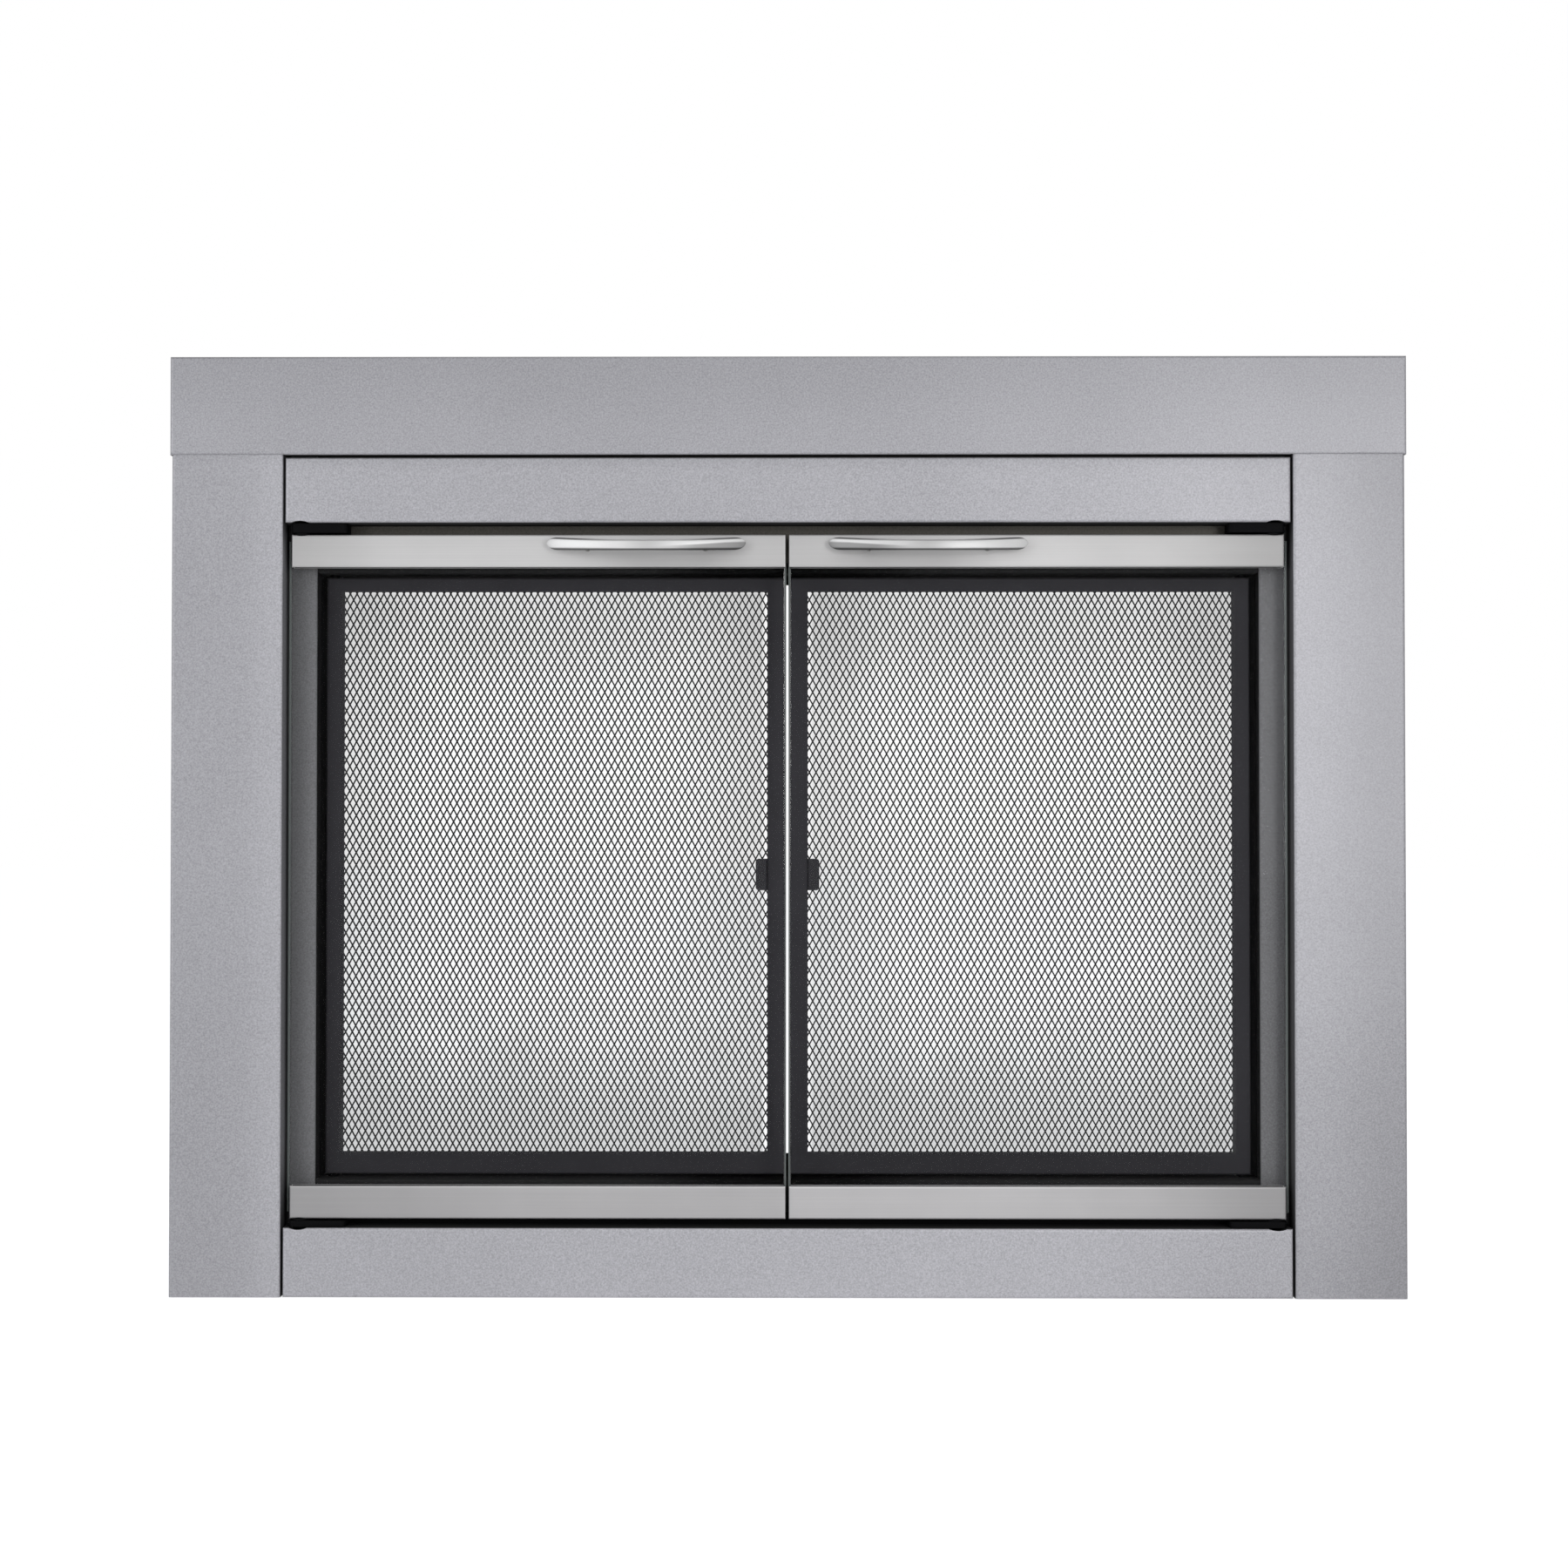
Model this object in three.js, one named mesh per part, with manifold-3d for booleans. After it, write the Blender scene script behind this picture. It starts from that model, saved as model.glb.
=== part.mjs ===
// A fireplace glass door: a satin nickel surround, a pair of clamped glass doors on pivot
// hinges, and behind them a pair of black framed screen doors of expanded metal mesh.
//
// Millimetres, +Z up, front towards -Y, +X to the right as seen from the front.
// x = 0 is the centre line, y = 0 the middle of the closed glass, z = 0 the hearth.

import * as THREE from 'three';
import { mergeGeometries, mergeVertices } from 'three/addons/utils/BufferGeometryUtils.js';
import Module from 'manifold-3d';

// ---------------------------------------------------------------- driving dimensions

// Surround
const overallHeight = 762;
const surroundWidth = 1000;      // over both columns
const columnFace = 90.4;         // width of a column's face
const lintelFace = 80;           // height of the lintel's face
const topRailFace = 53.2;
const bottomRailFace = 56;
const glassSetback = 13;         // from the surround's face to the middle of the glass
const recessDepth = 28;          // from the surround's face to the inner flange
const returnDepth = 45;          // from the surround's face to the masonry
const sheet = 1.2;               // sheet metal of the surround
const bendInside = 1.0;          // inside radius of a bend in sheet metal
const edgeRadius = 2.2;          // outside radius of a pressed panel's edges
const seam = 1.8;                // shadow gap between two face panels
const hem = 14;                  // rear hem that lies on the masonry
const lip = 10;                  // short return that stiffens a panel
const fit = 0.3;                 // clearance between pieces that seat on each other
const spare = 1;                 // how far a cutting tool runs past what it cuts

// Inner frame and rear frame
const jambReveal = 23.3;         // from the column's inner edge to the jamb's inner edge
const flangeCover = 5.3;         // how far a flange hides behind a glass clamp
const jambFlange = 39;           // width of a jamb flange, most of it behind the column
const jambReturn = 7;            // depth of the jamb's inner return
const jambLap = 40;              // how far the jambs rise behind the lintel
const rearSheet = 1.5;
const rearFlange = 24;           // front flanges of the rear frame
const postFlange = 16;
const stopLapTop = 5;            // how far the rear stops lap over the closed screens
const stopLapBottom = 16;
const stopLapSide = 11;
const stopGap = 0.8;             // between a stop and the sweep of a screen's corner

// Glass doors
const glassThickness = 4.8;
const glassEdgeReveal = 3;       // glass that shows between its clamp and the column
const glassSideGap = 3.0;        // from the glass edge to the column
const doorGap = 1.8;             // between the two panes at the centre line
const clampEndInset = 0.2;       // clamp end back from the glass edge at the centre
const topDoorGap = 9.2;          // from the top rail down to the clamp
const bottomDoorGap = 6.6;       // from the bottom rail up to the clamp
const clampHeight = 26.4;
const clampThickness = 12;
const clampWall = 1.5;
const clampWeb = 3;
const clampRadius = 1.5;
const gasketWeb = 1.5;
const gasketInset = 1;           // gasket ends inside the clamp's ends
const pivotInset = 13.9;         // from the column's inner edge to the pivot axis

// Pivot hinges of the glass doors
const bossRadius = 7.4;
const bossSink = 1.8;            // how deep the boss sinks into the clamp's dimple
const bossRise = 2.6;            // how deep the boss enters the rail
const pinRadius = 3;
const pinHeadRadius = 4;
const pinChamfer = 1;
const pinReach = 11;             // pin beyond the clamp's web
const notchDepth = 1.6;          // round notch in a rail's front edge at each pivot
const bracketClear = 1.6;        // from a bracket's plate to the clamp
const bracketLength = 38;        // from the pivot towards the centre
const bracketFront = 9;          // from the pivot to the plate's front edge
const bracketBack = 13;
const bracketCorner = 4;
const bracketRim = 1;            // plate beyond the boss
const bracketScrewOffset = 24;   // from the pivot to the bracket's screw

// Fasteners
const screwRadius = 1.9;
const screwHeadRadius = 3.8;
const screwHeadHeight = 2.2;
const bracketScrewReach = 6;     // screw beyond the bracket

// Handles
const handleLength = 161;
const handlePostPitch = 96;
const handleOffset = 114.4;      // handle's middle from the centre line
const handleEndHeight = 9.2;
const handleMidHeight = 6.0;
const handleThickness = 3.4;
const handleEndStandoff = 7;     // strap's middle from the clamp, at its ends
const handleMidStandoff = 27;    // and at its middle
const handleDroop = 4.3;         // the bow leans down towards its middle
const handleTip = 12;            // length of a tapered tip
const handleBelowTop = 8.5;      // strap ends below the clamp's top
const handlePostRadius = 3.5;
const handleFootRadius = 5;
const handleFootHeight = 2;
const handleTapDepth = 9;
const handleTapClear = 1;        // tap beyond the screw's end
const handleTipShare = 0.35;     // a tip's thickness as a share of the strap's
const handleSwell = 1.5;         // how late the strap's height grows towards its ends
const handleStations = 24;
const handleSides = 10;

// Magnetic catches behind the top clamps
const catchWidth = 38;
const catchHeight = 14;
const catchOffset = 31;
const catchBlockWidth = 26;
const catchBlockHeight = 10;

// Screen doors
const screenSetback = 16;        // from the flange to the screen's face
const screenDepth = 8;
const screenSideGap = 5.0;       // from the jamb flange's edge to the screen
const screenEndGap = 10.6;       // from the flange edges to the screen's top and bottom
const screenGap = 3.2;           // between the two screens
const screenStile = 15.1;
const screenTopRail = 11.8;
const screenBottomRail = 18.7;
const screenSheet = 1.0;
const screenEdgeRadius = 1.6;
const screenPivotInset = 6;
const screenPinRadius = 2.5;
const screenCollarRadius = 4;
const screenPinGap = 2.4;        // from the screen to the web that carries it
const screenPinReach = 6;

// Mesh panels
const meshThickness = 1.2;
const meshColumns = 9;           // whole diamonds across
const meshRows = 7;              // whole diamonds up
const meshStrand = 3;

// Pull tabs of the screens
const tabWidth = 9.2;
const tabHeight = 26;
const tabThickness = 1.2;
const tabStandoff = 3;           // from the stile's face
const tabCorner = 2.5;
const tabMiddleZ = 341;
const tabFoot = 10;

// Anchors
const bracketSteel = 3;
const footWidth = 30;
const footReach = 94;
const footHole = 3.6;
const footHoleFromEnd = 22;
const anchorInset = 20;          // floor bracket's middle from the jamb's edge
const lintelClampOffset = 250;
const lintelClampWidth = 32;
const lintelClampHeight = 50;
const lintelClampReach = 64;
const lintelClampBelowTop = 42;  // arm below the lintel's lower edge
const lintelBoltRadius = 4;
const lintelBoltFromEnd = 18;
const lintelBoltLength = 76;
const lintelBoltBelow = 26;      // bolt below its arm
const lintelPadRadius = 9;
const lintelPadHeight = 3;
const boltHeadRadius = 7;
const boltHeadHeight = 5;

// ---------------------------------------------------------------- derived places

const faceY = -glassSetback;
const flangeY = faceY + recessDepth;
const flangeBackY = flangeY + sheet;
const wallY = faceY + returnDepth;
const columnOuterX = surroundWidth / 2;
const columnInnerX = columnOuterX - columnFace;
const lintelHalf = columnOuterX + fit + sheet;
const lintelFrontY = faceY - fit - sheet;
const lintelBottomZ = overallHeight - lintelFace;
const topRailTopZ = lintelBottomZ - seam;
const topRailBottomZ = topRailTopZ - topRailFace;
const railHalf = columnInnerX - seam;

const doorTopZ = topRailBottomZ - topDoorGap;
const doorBottomZ = bottomRailFace + bottomDoorGap;
const doorMiddleZ = (doorTopZ + doorBottomZ) / 2;
const pivotX = columnInnerX - pivotInset;

const jambX = columnInnerX - jambReveal;
const openingTopZ = doorTopZ - clampHeight + flangeCover;
const openingBottomZ = doorBottomZ + clampHeight - flangeCover;

const screenFrontY = flangeY + screenSetback;
const screenMidY = screenFrontY + screenDepth / 2;
const screenTopZ = openingTopZ - screenEndGap;
const screenBottomZ = openingBottomZ + screenEndGap;
const screenOuterX = jambX - screenSideGap;
const screenPivotX = screenOuterX - screenPivotInset;

const rearFrontY = flangeBackY + fit;
const stopY = screenMidY + Math.hypot(screenPivotInset, screenDepth / 2) + stopGap;
const postX = jambX + sheet + fit;
const stopX = screenOuterX - stopLapSide;
const rearHalf = jambX - fit;
const headWebZ = screenTopZ + screenPinGap;
const sillWebZ = screenBottomZ - screenPinGap;
const rearTopZ = headWebZ + rearFlange;
const rearBottomZ = sillWebZ - rearFlange;

// ---------------------------------------------------------------- solids

const wasm = await Module();
wasm.setup();

// Shared vertices merged, collapsed triangles dropped.
function tidy(geometry) {
  const bare = geometry.clone();
  bare.deleteAttribute('normal');
  bare.deleteAttribute('uv');
  const merged = mergeVertices(bare, 1e-4);
  const kept = [];
  for (let i = 0; i < merged.index.count; i += 3) {
    const a = merged.index.getX(i);
    const b = merged.index.getX(i + 1);
    const c = merged.index.getX(i + 2);
    if (a !== b && b !== c && c !== a) {
      kept.push(a, b, c);
    }
  }
  merged.setIndex(kept);
  return merged;
}

function solidOf(geometry) {
  const clean = tidy(geometry);
  return new wasm.Manifold(new wasm.Mesh({
    numProp: 3,
    vertProperties: new Float32Array(clean.attributes.position.array),
    triVerts: new Uint32Array(clean.index.array),
  }));
}

function geometryOf(solid) {
  const mesh = solid.getMesh();
  const geometry = new THREE.BufferGeometry();
  geometry.setAttribute('position', new THREE.BufferAttribute(new Float32Array(mesh.vertProperties), 3));
  geometry.setIndex(new THREE.BufferAttribute(new Uint32Array(mesh.triVerts), 1));
  return geometry;
}

function union(...geometries) {
  return geometryOf(geometries.map(solidOf).reduce((all, next) => all.add(next)));
}

function cut(geometry, ...tools) {
  return geometryOf(tools.map(solidOf).reduce((left, tool) => left.subtract(tool), solidOf(geometry)));
}

function common(first, second) {
  return geometryOf(solidOf(first).intersect(solidOf(second)));
}

// The mirror image across the plane where the given axis is zero.
function mirrored(geometry, axis) {
  const image = tidy(geometry);
  const scale = new THREE.Vector3(1, 1, 1).setComponent('xyz'.indexOf(axis), -1);
  image.scale(scale.x, scale.y, scale.z);
  const turned = [];
  for (let i = 0; i < image.index.count; i += 3) {
    turned.push(image.index.getX(i), image.index.getX(i + 2), image.index.getX(i + 1));
  }
  image.setIndex(turned);
  return image;
}

function mirroredAtHeight(geometry, height) {
  return mirrored(geometry, 'z').translate(0, 0, 2 * height);
}

function block(x0, x1, y0, y1, z0, z1) {
  const geometry = new THREE.BoxGeometry(x1 - x0, y1 - y0, z1 - z0);
  return geometry.translate((x0 + x1) / 2, (y0 + y1) / 2, (z0 + z1) / 2);
}

function extruded(shape, depth) {
  return new THREE.ExtrudeGeometry(shape, { depth, bevelEnabled: false });
}

// A shape drawn in (x, y), run along Z.
function alongZ(points, z0, z1) {
  return extruded(new THREE.Shape(points), z1 - z0).translate(0, 0, z0);
}

// A shape drawn in (y, z), run along X.
function alongX(points, x0, x1) {
  const turn = new THREE.Matrix4().makeBasis(
    new THREE.Vector3(0, 1, 0),
    new THREE.Vector3(0, 0, 1),
    new THREE.Vector3(1, 0, 0),
  );
  return extruded(new THREE.Shape(points), x1 - x0).applyMatrix4(turn).translate(x0, 0, 0);
}

// A shape drawn in (x, z), run along Y.
function alongY(shape, y0, y1) {
  return extruded(shape, y1 - y0).rotateX(Math.PI / 2).translate(0, y1, 0);
}

function rodZ(radius, x, y, z0, z1, sides = 12) {
  const geometry = new THREE.CylinderGeometry(radius, radius, z1 - z0, sides);
  return geometry.rotateX(Math.PI / 2).translate(x, y, (z0 + z1) / 2);
}

function rodY(radius, x, z, y0, y1, sides = 16) {
  return new THREE.CylinderGeometry(radius, radius, y1 - y0, sides).translate(x, (y0 + y1) / 2, z);
}

// A profile of [radius, height] pairs turned about the Z axis.
function turned(profile, sides = 20) {
  const points = profile.map(([radius, height]) => new THREE.Vector2(radius, height));
  return new THREE.LatheGeometry(points, sides).rotateX(Math.PI / 2);
}

// Points on an arc, from one angle to another.
function arc(x, y, radius, start, end, steps = 4) {
  const points = [];
  for (let i = 0; i <= steps; i += 1) {
    const angle = start + (end - start) * i / steps;
    points.push(new THREE.Vector2(x + radius * Math.cos(angle), y + radius * Math.sin(angle)));
  }
  return points;
}

function roundedRectangle(x0, x1, y0, y1, radius, steps = 4) {
  const quarter = Math.PI / 2;
  return [
    ...arc(x1 - radius, y0 + radius, radius, -quarter, 0, steps),
    ...arc(x1 - radius, y1 - radius, radius, 0, quarter, steps),
    ...arc(x0 + radius, y1 - radius, radius, quarter, 2 * quarter, steps),
    ...arc(x0 + radius, y0 + radius, radius, 2 * quarter, 3 * quarter, steps),
  ];
}

// The section of bent sheet metal. The corners lie on one face of the sheet, whose metal is
// on the left of the path, and each bend has the given inside radius.
function sheetSection(corners, thickness, inside) {
  const path = corners.map(([x, y]) => new THREE.Vector2(x, y));
  const direction = (i) => path[i + 1].clone().sub(path[i]).normalize();
  const leftOf = (u) => new THREE.Vector2(-u.y, u.x);
  const near = [path[0]];
  const far = [path[0].clone().addScaledVector(leftOf(direction(0)), thickness)];
  for (let i = 1; i < path.length - 1; i += 1) {
    const u = direction(i - 1);
    const v = direction(i);
    const turn = Math.sign(u.cross(v));
    const radius = turn > 0 ? inside + thickness : inside;
    const tangent = radius * Math.tan(Math.acos(u.dot(v)) / 2);
    const centre = path[i].clone().addScaledVector(u, -tangent).addScaledVector(leftOf(u), turn * radius);
    const start = leftOf(u).multiplyScalar(-turn).angle();
    const sweep = turn * Math.acos(u.dot(v));
    near.push(...arc(centre.x, centre.y, radius, start, start + sweep));
    far.push(...arc(centre.x, centre.y, radius - turn * thickness, start, start + sweep));
  }
  const end = path.length - 1;
  near.push(path[end]);
  far.push(path[end].clone().addScaledVector(leftOf(direction(end - 1)), thickness));
  return [...near, ...far.reverse()];
}

// A block whose four front edges are rounded, as on a pressed panel.
function pressedBlock(x0, x1, z0, z1, front, back, radius) {
  const outline = (low, high) => [
    new THREE.Vector2(back, low),
    ...arc(front + radius, low + radius, radius, -Math.PI / 2, -Math.PI),
    ...arc(front + radius, high - radius, radius, Math.PI, Math.PI / 2),
    new THREE.Vector2(back, high),
  ];
  const side = alongX(outline(z0, z1), x0 - spare, x1 + spare);
  const plan = alongZ(outline(x0, x1).map((p) => new THREE.Vector2(p.y, p.x)), z0 - spare, z1 + spare);
  return common(side, plan);
}

// A sheet metal pan, open at the back.
function pan(x0, x1, z0, z1, front, back) {
  const outer = pressedBlock(x0, x1, z0, z1, front, back, edgeRadius);
  const inner = pressedBlock(
    x0 + sheet, x1 - sheet, z0 + sheet, z1 - sheet, front + sheet, back + sheet, edgeRadius - sheet,
  );
  return cut(outer, inner);
}

// A skin through rings of points, closed to a point at each end.
function loft(startPoint, rings, endPoint) {
  const sides = rings[0].length;
  const points = [startPoint, ...rings.flat(), endPoint];
  const at = (ring, side) => 1 + ring * sides + side % sides;
  const index = [];
  for (let side = 0; side < sides; side += 1) {
    index.push(0, at(0, side + 1), at(0, side));
    for (let ring = 0; ring + 1 < rings.length; ring += 1) {
      index.push(at(ring, side), at(ring, side + 1), at(ring + 1, side + 1));
      index.push(at(ring, side), at(ring + 1, side + 1), at(ring + 1, side));
    }
    index.push(points.length - 1, at(rings.length - 1, side), at(rings.length - 1, side + 1));
  }
  const geometry = new THREE.BufferGeometry().setFromPoints(points);
  geometry.setIndex(index);
  return geometry;
}

// ---------------------------------------------------------------- materials

function finish(color, roughness, metalness) {
  return () => new THREE.MeshStandardMaterial({ color, roughness, metalness });
}

const nickel = finish(0xaaabb0, 0.45, 0.6);
const clampNickel = finish(0xbfbfc0, 0.4, 0.6);
const handleNickel = finish(0xd0d0d0, 0.25, 0.9);
const blackSteel = finish(0x1a1a1c, 0.6, 0.3);
const screenBlack = finish(0x323337, 0.65, 0.3);
const zinc = finish(0x9a9a96, 0.4, 0.8);
const rubber = finish(0x101010, 0.9, 0);
const glass = () => new THREE.MeshStandardMaterial({
  color: 0xcfd8d6,
  roughness: 0.05,
  metalness: 0,
  transparent: true,
  opacity: 0.3,
});

const model = new THREE.Group();

function add(parent, name, geometry, material) {
  const mesh = new THREE.Mesh(tidy(geometry), material());
  mesh.name = name;
  parent.add(mesh);
}

// ---------------------------------------------------------------- surround

function addLintel() {
  const shell = pan(-lintelHalf, lintelHalf, lintelBottomZ, overallHeight, lintelFrontY, wallY);
  const underX = columnInnerX - seam;
  const rearHem = block(
    -(columnOuterX - hem - fit), columnOuterX - hem - fit,
    wallY - sheet, wallY,
    overallHeight - hem, overallHeight - sheet / 2,
  );
  const behindLip = block(
    -underX, underX,
    lintelFrontY + lip, wallY + spare,
    lintelBottomZ - spare, lintelBottomZ + sheet,
  );
  const column = (side) => block(
    Math.min(side * underX, side * (columnOuterX + fit)),
    Math.max(side * underX, side * (columnOuterX + fit)),
    faceY - fit, wallY + spare,
    lintelBottomZ - spare, lintelBottomZ + sheet + edgeRadius,
  );
  add(model, 'lintel', union(cut(shell, behindLip, column(1), column(-1)), rearHem), nickel);
}

function addColumns() {
  const section = sheetSection([
    [columnInnerX, flangeY - fit],
    [columnInnerX, faceY],
    [columnOuterX, faceY],
    [columnOuterX, wallY],
    [columnOuterX - hem, wallY],
  ], sheet, bendInside);
  const column = alongZ(section, 0, overallHeight - sheet - fit);
  add(model, 'right_column', column, nickel);
  add(model, 'left_column', mirrored(column, 'x'), nickel);
}

// Round notches, seen from the front, that clear the two pivot bosses in a rail's edge.
function notches(edgeZ, towards) {
  const half = bossRadius + fit;
  const radius = (half * half + notchDepth * notchDepth) / (2 * notchDepth);
  const middleZ = edgeZ + towards * (notchDepth - radius);
  return [pivotX, -pivotX].map((x) => rodY(radius, x, middleZ, faceY - spare, 0, 72));
}

function railHoles(z) {
  const holes = [];
  for (const side of [-1, 1]) {
    const screwX = pivotX - bracketScrewOffset;
    holes.push(rodZ(bossRadius + fit, side * pivotX, 0, z - 3 * sheet, z + 3 * sheet, 24));
    holes.push(rodZ(screwRadius + fit, side * screwX, 0, z - 3 * sheet, z + 3 * sheet, 12));
  }
  return holes;
}

function addRails() {
  const back = flangeY - fit;
  const top = cut(
    pan(-railHalf, railHalf, topRailBottomZ, topRailTopZ, faceY, back),
    block(
      -railHalf - spare, railHalf + spare,
      faceY + lip, back + spare,
      topRailBottomZ + sheet, topRailTopZ + spare,
    ),
    ...notches(topRailBottomZ, 1),
    ...railHoles(topRailBottomZ),
  );
  add(model, 'top_rail', top, nickel);
  const bottom = cut(
    pan(-railHalf, railHalf, 0, bottomRailFace, faceY, back),
    block(-railHalf - spare, railHalf + spare, faceY + lip, back + spare, sheet, bottomRailFace - sheet),
    ...notches(bottomRailFace, -1),
    ...railHoles(bottomRailFace),
  );
  add(model, 'bottom_rail', bottom, nickel);
}

// ---------------------------------------------------------------- inner and rear frame

function addInnerFrame() {
  const section = sheetSection([
    [jambX, flangeY + jambReturn],
    [jambX, flangeY],
    [jambX + jambFlange, flangeY],
  ], sheet, bendInside);
  const jamb = alongZ(section, 0, lintelBottomZ + jambLap);
  add(model, 'right_jamb', jamb, nickel);
  add(model, 'left_jamb', mirrored(jamb, 'x'), nickel);
  const flangeHalf = jambX - fit;
  const headSection = sheetSection([
    [flangeY + sheet + lip, lintelBottomZ + jambLap],
    [flangeY, lintelBottomZ + jambLap],
    [flangeY, openingTopZ],
  ], sheet, bendInside);
  add(model, 'head_flange', alongX(headSection, -flangeHalf, flangeHalf), nickel);
  const sillSection = sheetSection([
    [flangeY, openingBottomZ],
    [flangeY, 0],
    [flangeY + sheet + lip, 0],
  ], sheet, bendInside);
  add(model, 'sill_flange', alongX(sillSection, -flangeHalf, flangeHalf), nickel);
}

function addRearFrame() {
  const postSection = sheetSection([
    [stopX, stopY],
    [postX, stopY],
    [postX, rearFrontY],
    [postX + postFlange, rearFrontY],
  ], rearSheet, bendInside);
  const post = alongZ(postSection, rearBottomZ, rearTopZ);
  add(model, 'right_rear_post', post, blackSteel);
  add(model, 'left_rear_post', mirrored(post, 'x'), blackSteel);

  const corner = (side, low, high) => block(
    Math.min(side * (stopX - fit), side * (rearHalf + spare)),
    Math.max(side * (stopX - fit), side * (rearHalf + spare)),
    stopY - fit, stopY + rearSheet + spare,
    low, high,
  );
  const pinHole = (side, z) => rodZ(
    screenPinRadius + fit, side * screenPivotX, screenMidY, z - 2 * rearSheet, z + 2 * rearSheet,
  );
  const headSection = sheetSection([
    [rearFrontY, rearTopZ],
    [rearFrontY, headWebZ],
    [stopY, headWebZ],
    [stopY, screenTopZ - stopLapTop],
  ], rearSheet, bendInside);
  const head = cut(
    alongX(headSection, -rearHalf, rearHalf),
    corner(1, screenTopZ - stopLapTop - spare, rearTopZ),
    corner(-1, screenTopZ - stopLapTop - spare, rearTopZ),
    pinHole(1, headWebZ),
    pinHole(-1, headWebZ),
  );
  add(model, 'rear_head', head, blackSteel);
  const sillSection = sheetSection([
    [stopY, screenBottomZ + stopLapBottom],
    [stopY, sillWebZ],
    [rearFrontY, sillWebZ],
    [rearFrontY, rearBottomZ],
  ], rearSheet, bendInside);
  const sill = cut(
    alongX(sillSection, -rearHalf, rearHalf),
    corner(1, rearBottomZ, screenBottomZ + stopLapBottom + spare),
    corner(-1, rearBottomZ, screenBottomZ + stopLapBottom + spare),
    pinHole(1, sillWebZ),
    pinHole(-1, sillWebZ),
  );
  add(model, 'rear_sill', sill, blackSteel);
}

// ---------------------------------------------------------------- fasteners

// Head below z = 0, shank above it.
function screw(length) {
  return turned([
    [0, -screwHeadHeight],
    [screwHeadRadius * 0.6, -screwHeadHeight],
    [screwHeadRadius * 0.9, -screwHeadHeight * 0.7],
    [screwHeadRadius, -screwHeadHeight * 0.3],
    [screwHeadRadius, 0],
    [screwRadius, 0],
    [screwRadius, length - screwRadius],
    [0, length],
  ], 10);
}

// ---------------------------------------------------------------- pivot hinges

// Height of a cap of the given radius and rise, at a distance from its axis.
function capHeight(radius, rise, distance) {
  const sphere = (radius * radius + rise * rise) / (2 * rise);
  return rise - sphere + Math.sqrt(sphere * sphere - distance * distance);
}

// Height of a bracket's plate above the rail, for a door that hangs this far from the rail.
function plateTop(gap) {
  return gap - bracketClear;
}

// A bracket on a rail: plate and round boss, for a rail below it. The rail's surface is at
// z = 0, the pivot axis at x = 0, the plate runs towards -X and the door is above.
function hingeBracket(gap) {
  const top = plateTop(gap);
  const plate = roundedRectangle(
    -bracketLength, bossRadius + bracketRim, -bracketFront, bracketBack, bracketCorner,
  );
  const bore = pinRadius + fit;
  const caps = (rise, sign, base) => [1, 0.8, 0.6].map((share) => {
    const distance = bore + (bossRadius - bore) * share;
    return [distance, base + sign * capHeight(bossRadius, rise, distance)];
  });
  const low = caps(bossRise, -1, 0);
  const high = caps(bossSink, 1, gap);
  const boss = turned([
    [bore, -capHeight(bossRadius, bossRise, bore)],
    ...low.reverse(),
    ...high,
    [bore, gap + capHeight(bossRadius, bossSink, bore)],
    [bore, -capHeight(bossRadius, bossRise, bore)],
  ]);
  const bored = cut(
    alongZ(plate, fit, top),
    rodZ((bossRadius + bore) / 2, 0, 0, -spare, top + spare, 24),
    rodZ(screwRadius + fit, -bracketScrewOffset, 0, -spare, top + spare, 12),
    rodZ(screwHeadRadius + fit, -bracketScrewOffset, 0, top - screwHeadHeight - fit, top + spare, 24),
  );
  return union(bored, boss);
}

function addHingeBrackets() {
  const screwX = pivotX - bracketScrewOffset;
  const lowerSeat = plateTop(bottomDoorGap) - screwHeadHeight;
  const upperSeat = plateTop(topDoorGap) - screwHeadHeight;
  const lower = hingeBracket(bottomDoorGap).translate(pivotX, 0, bottomRailFace);
  const upper = mirrored(hingeBracket(topDoorGap), 'z').translate(pivotX, 0, topRailBottomZ);
  const upperScrew = screw(upperSeat + bracketScrewReach).translate(screwX, 0, topRailBottomZ - upperSeat);
  const lowerScrew = mirrored(screw(lowerSeat + bracketScrewReach), 'z')
    .translate(screwX, 0, bottomRailFace + lowerSeat);
  const pieces = [
    ['bottom_hinge_bracket', lower, blackSteel],
    ['top_hinge_bracket', upper, blackSteel],
    ['bottom_hinge_screw', lowerScrew, zinc],
    ['top_hinge_screw', upperScrew, zinc],
  ];
  for (const [name, geometry, material] of pieces) {
    add(model, `right_${name}`, geometry, material);
    add(model, `left_${name}`, mirrored(geometry, 'x'), material);
  }
}

// ---------------------------------------------------------------- glass doors

// Every door piece is made for the right-hand door, about its own pivot axis.
const freeEdge = -(pivotX - doorGap / 2);
const hingeEdge = pivotInset - glassSideGap;
const clampFree = freeEdge + clampEndInset;
const clampHinge = hingeEdge - glassEdgeReveal;
const clampWebZ = doorTopZ - clampWeb;
const glassTopZ = clampWebZ - fit - gasketWeb - fit;
const handleX = -(pivotX - handleOffset);
const handleEndZ = doorTopZ - handleBelowTop;

function bowShare(x) {
  const share = x / (handleLength / 2);
  return 1 - share * share;
}

function strapCentre(x) {
  const standoff = handleEndStandoff + (handleMidStandoff - handleEndStandoff) * bowShare(x);
  return new THREE.Vector3(x, -clampThickness / 2 - standoff, handleEndZ - handleDroop * bowShare(x));
}

const handlePostX = handlePostPitch / 2;
const postZ = strapCentre(handlePostX).z;
const handleScrewXs = [handleX - handlePostX, handleX + handlePostX];

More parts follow.
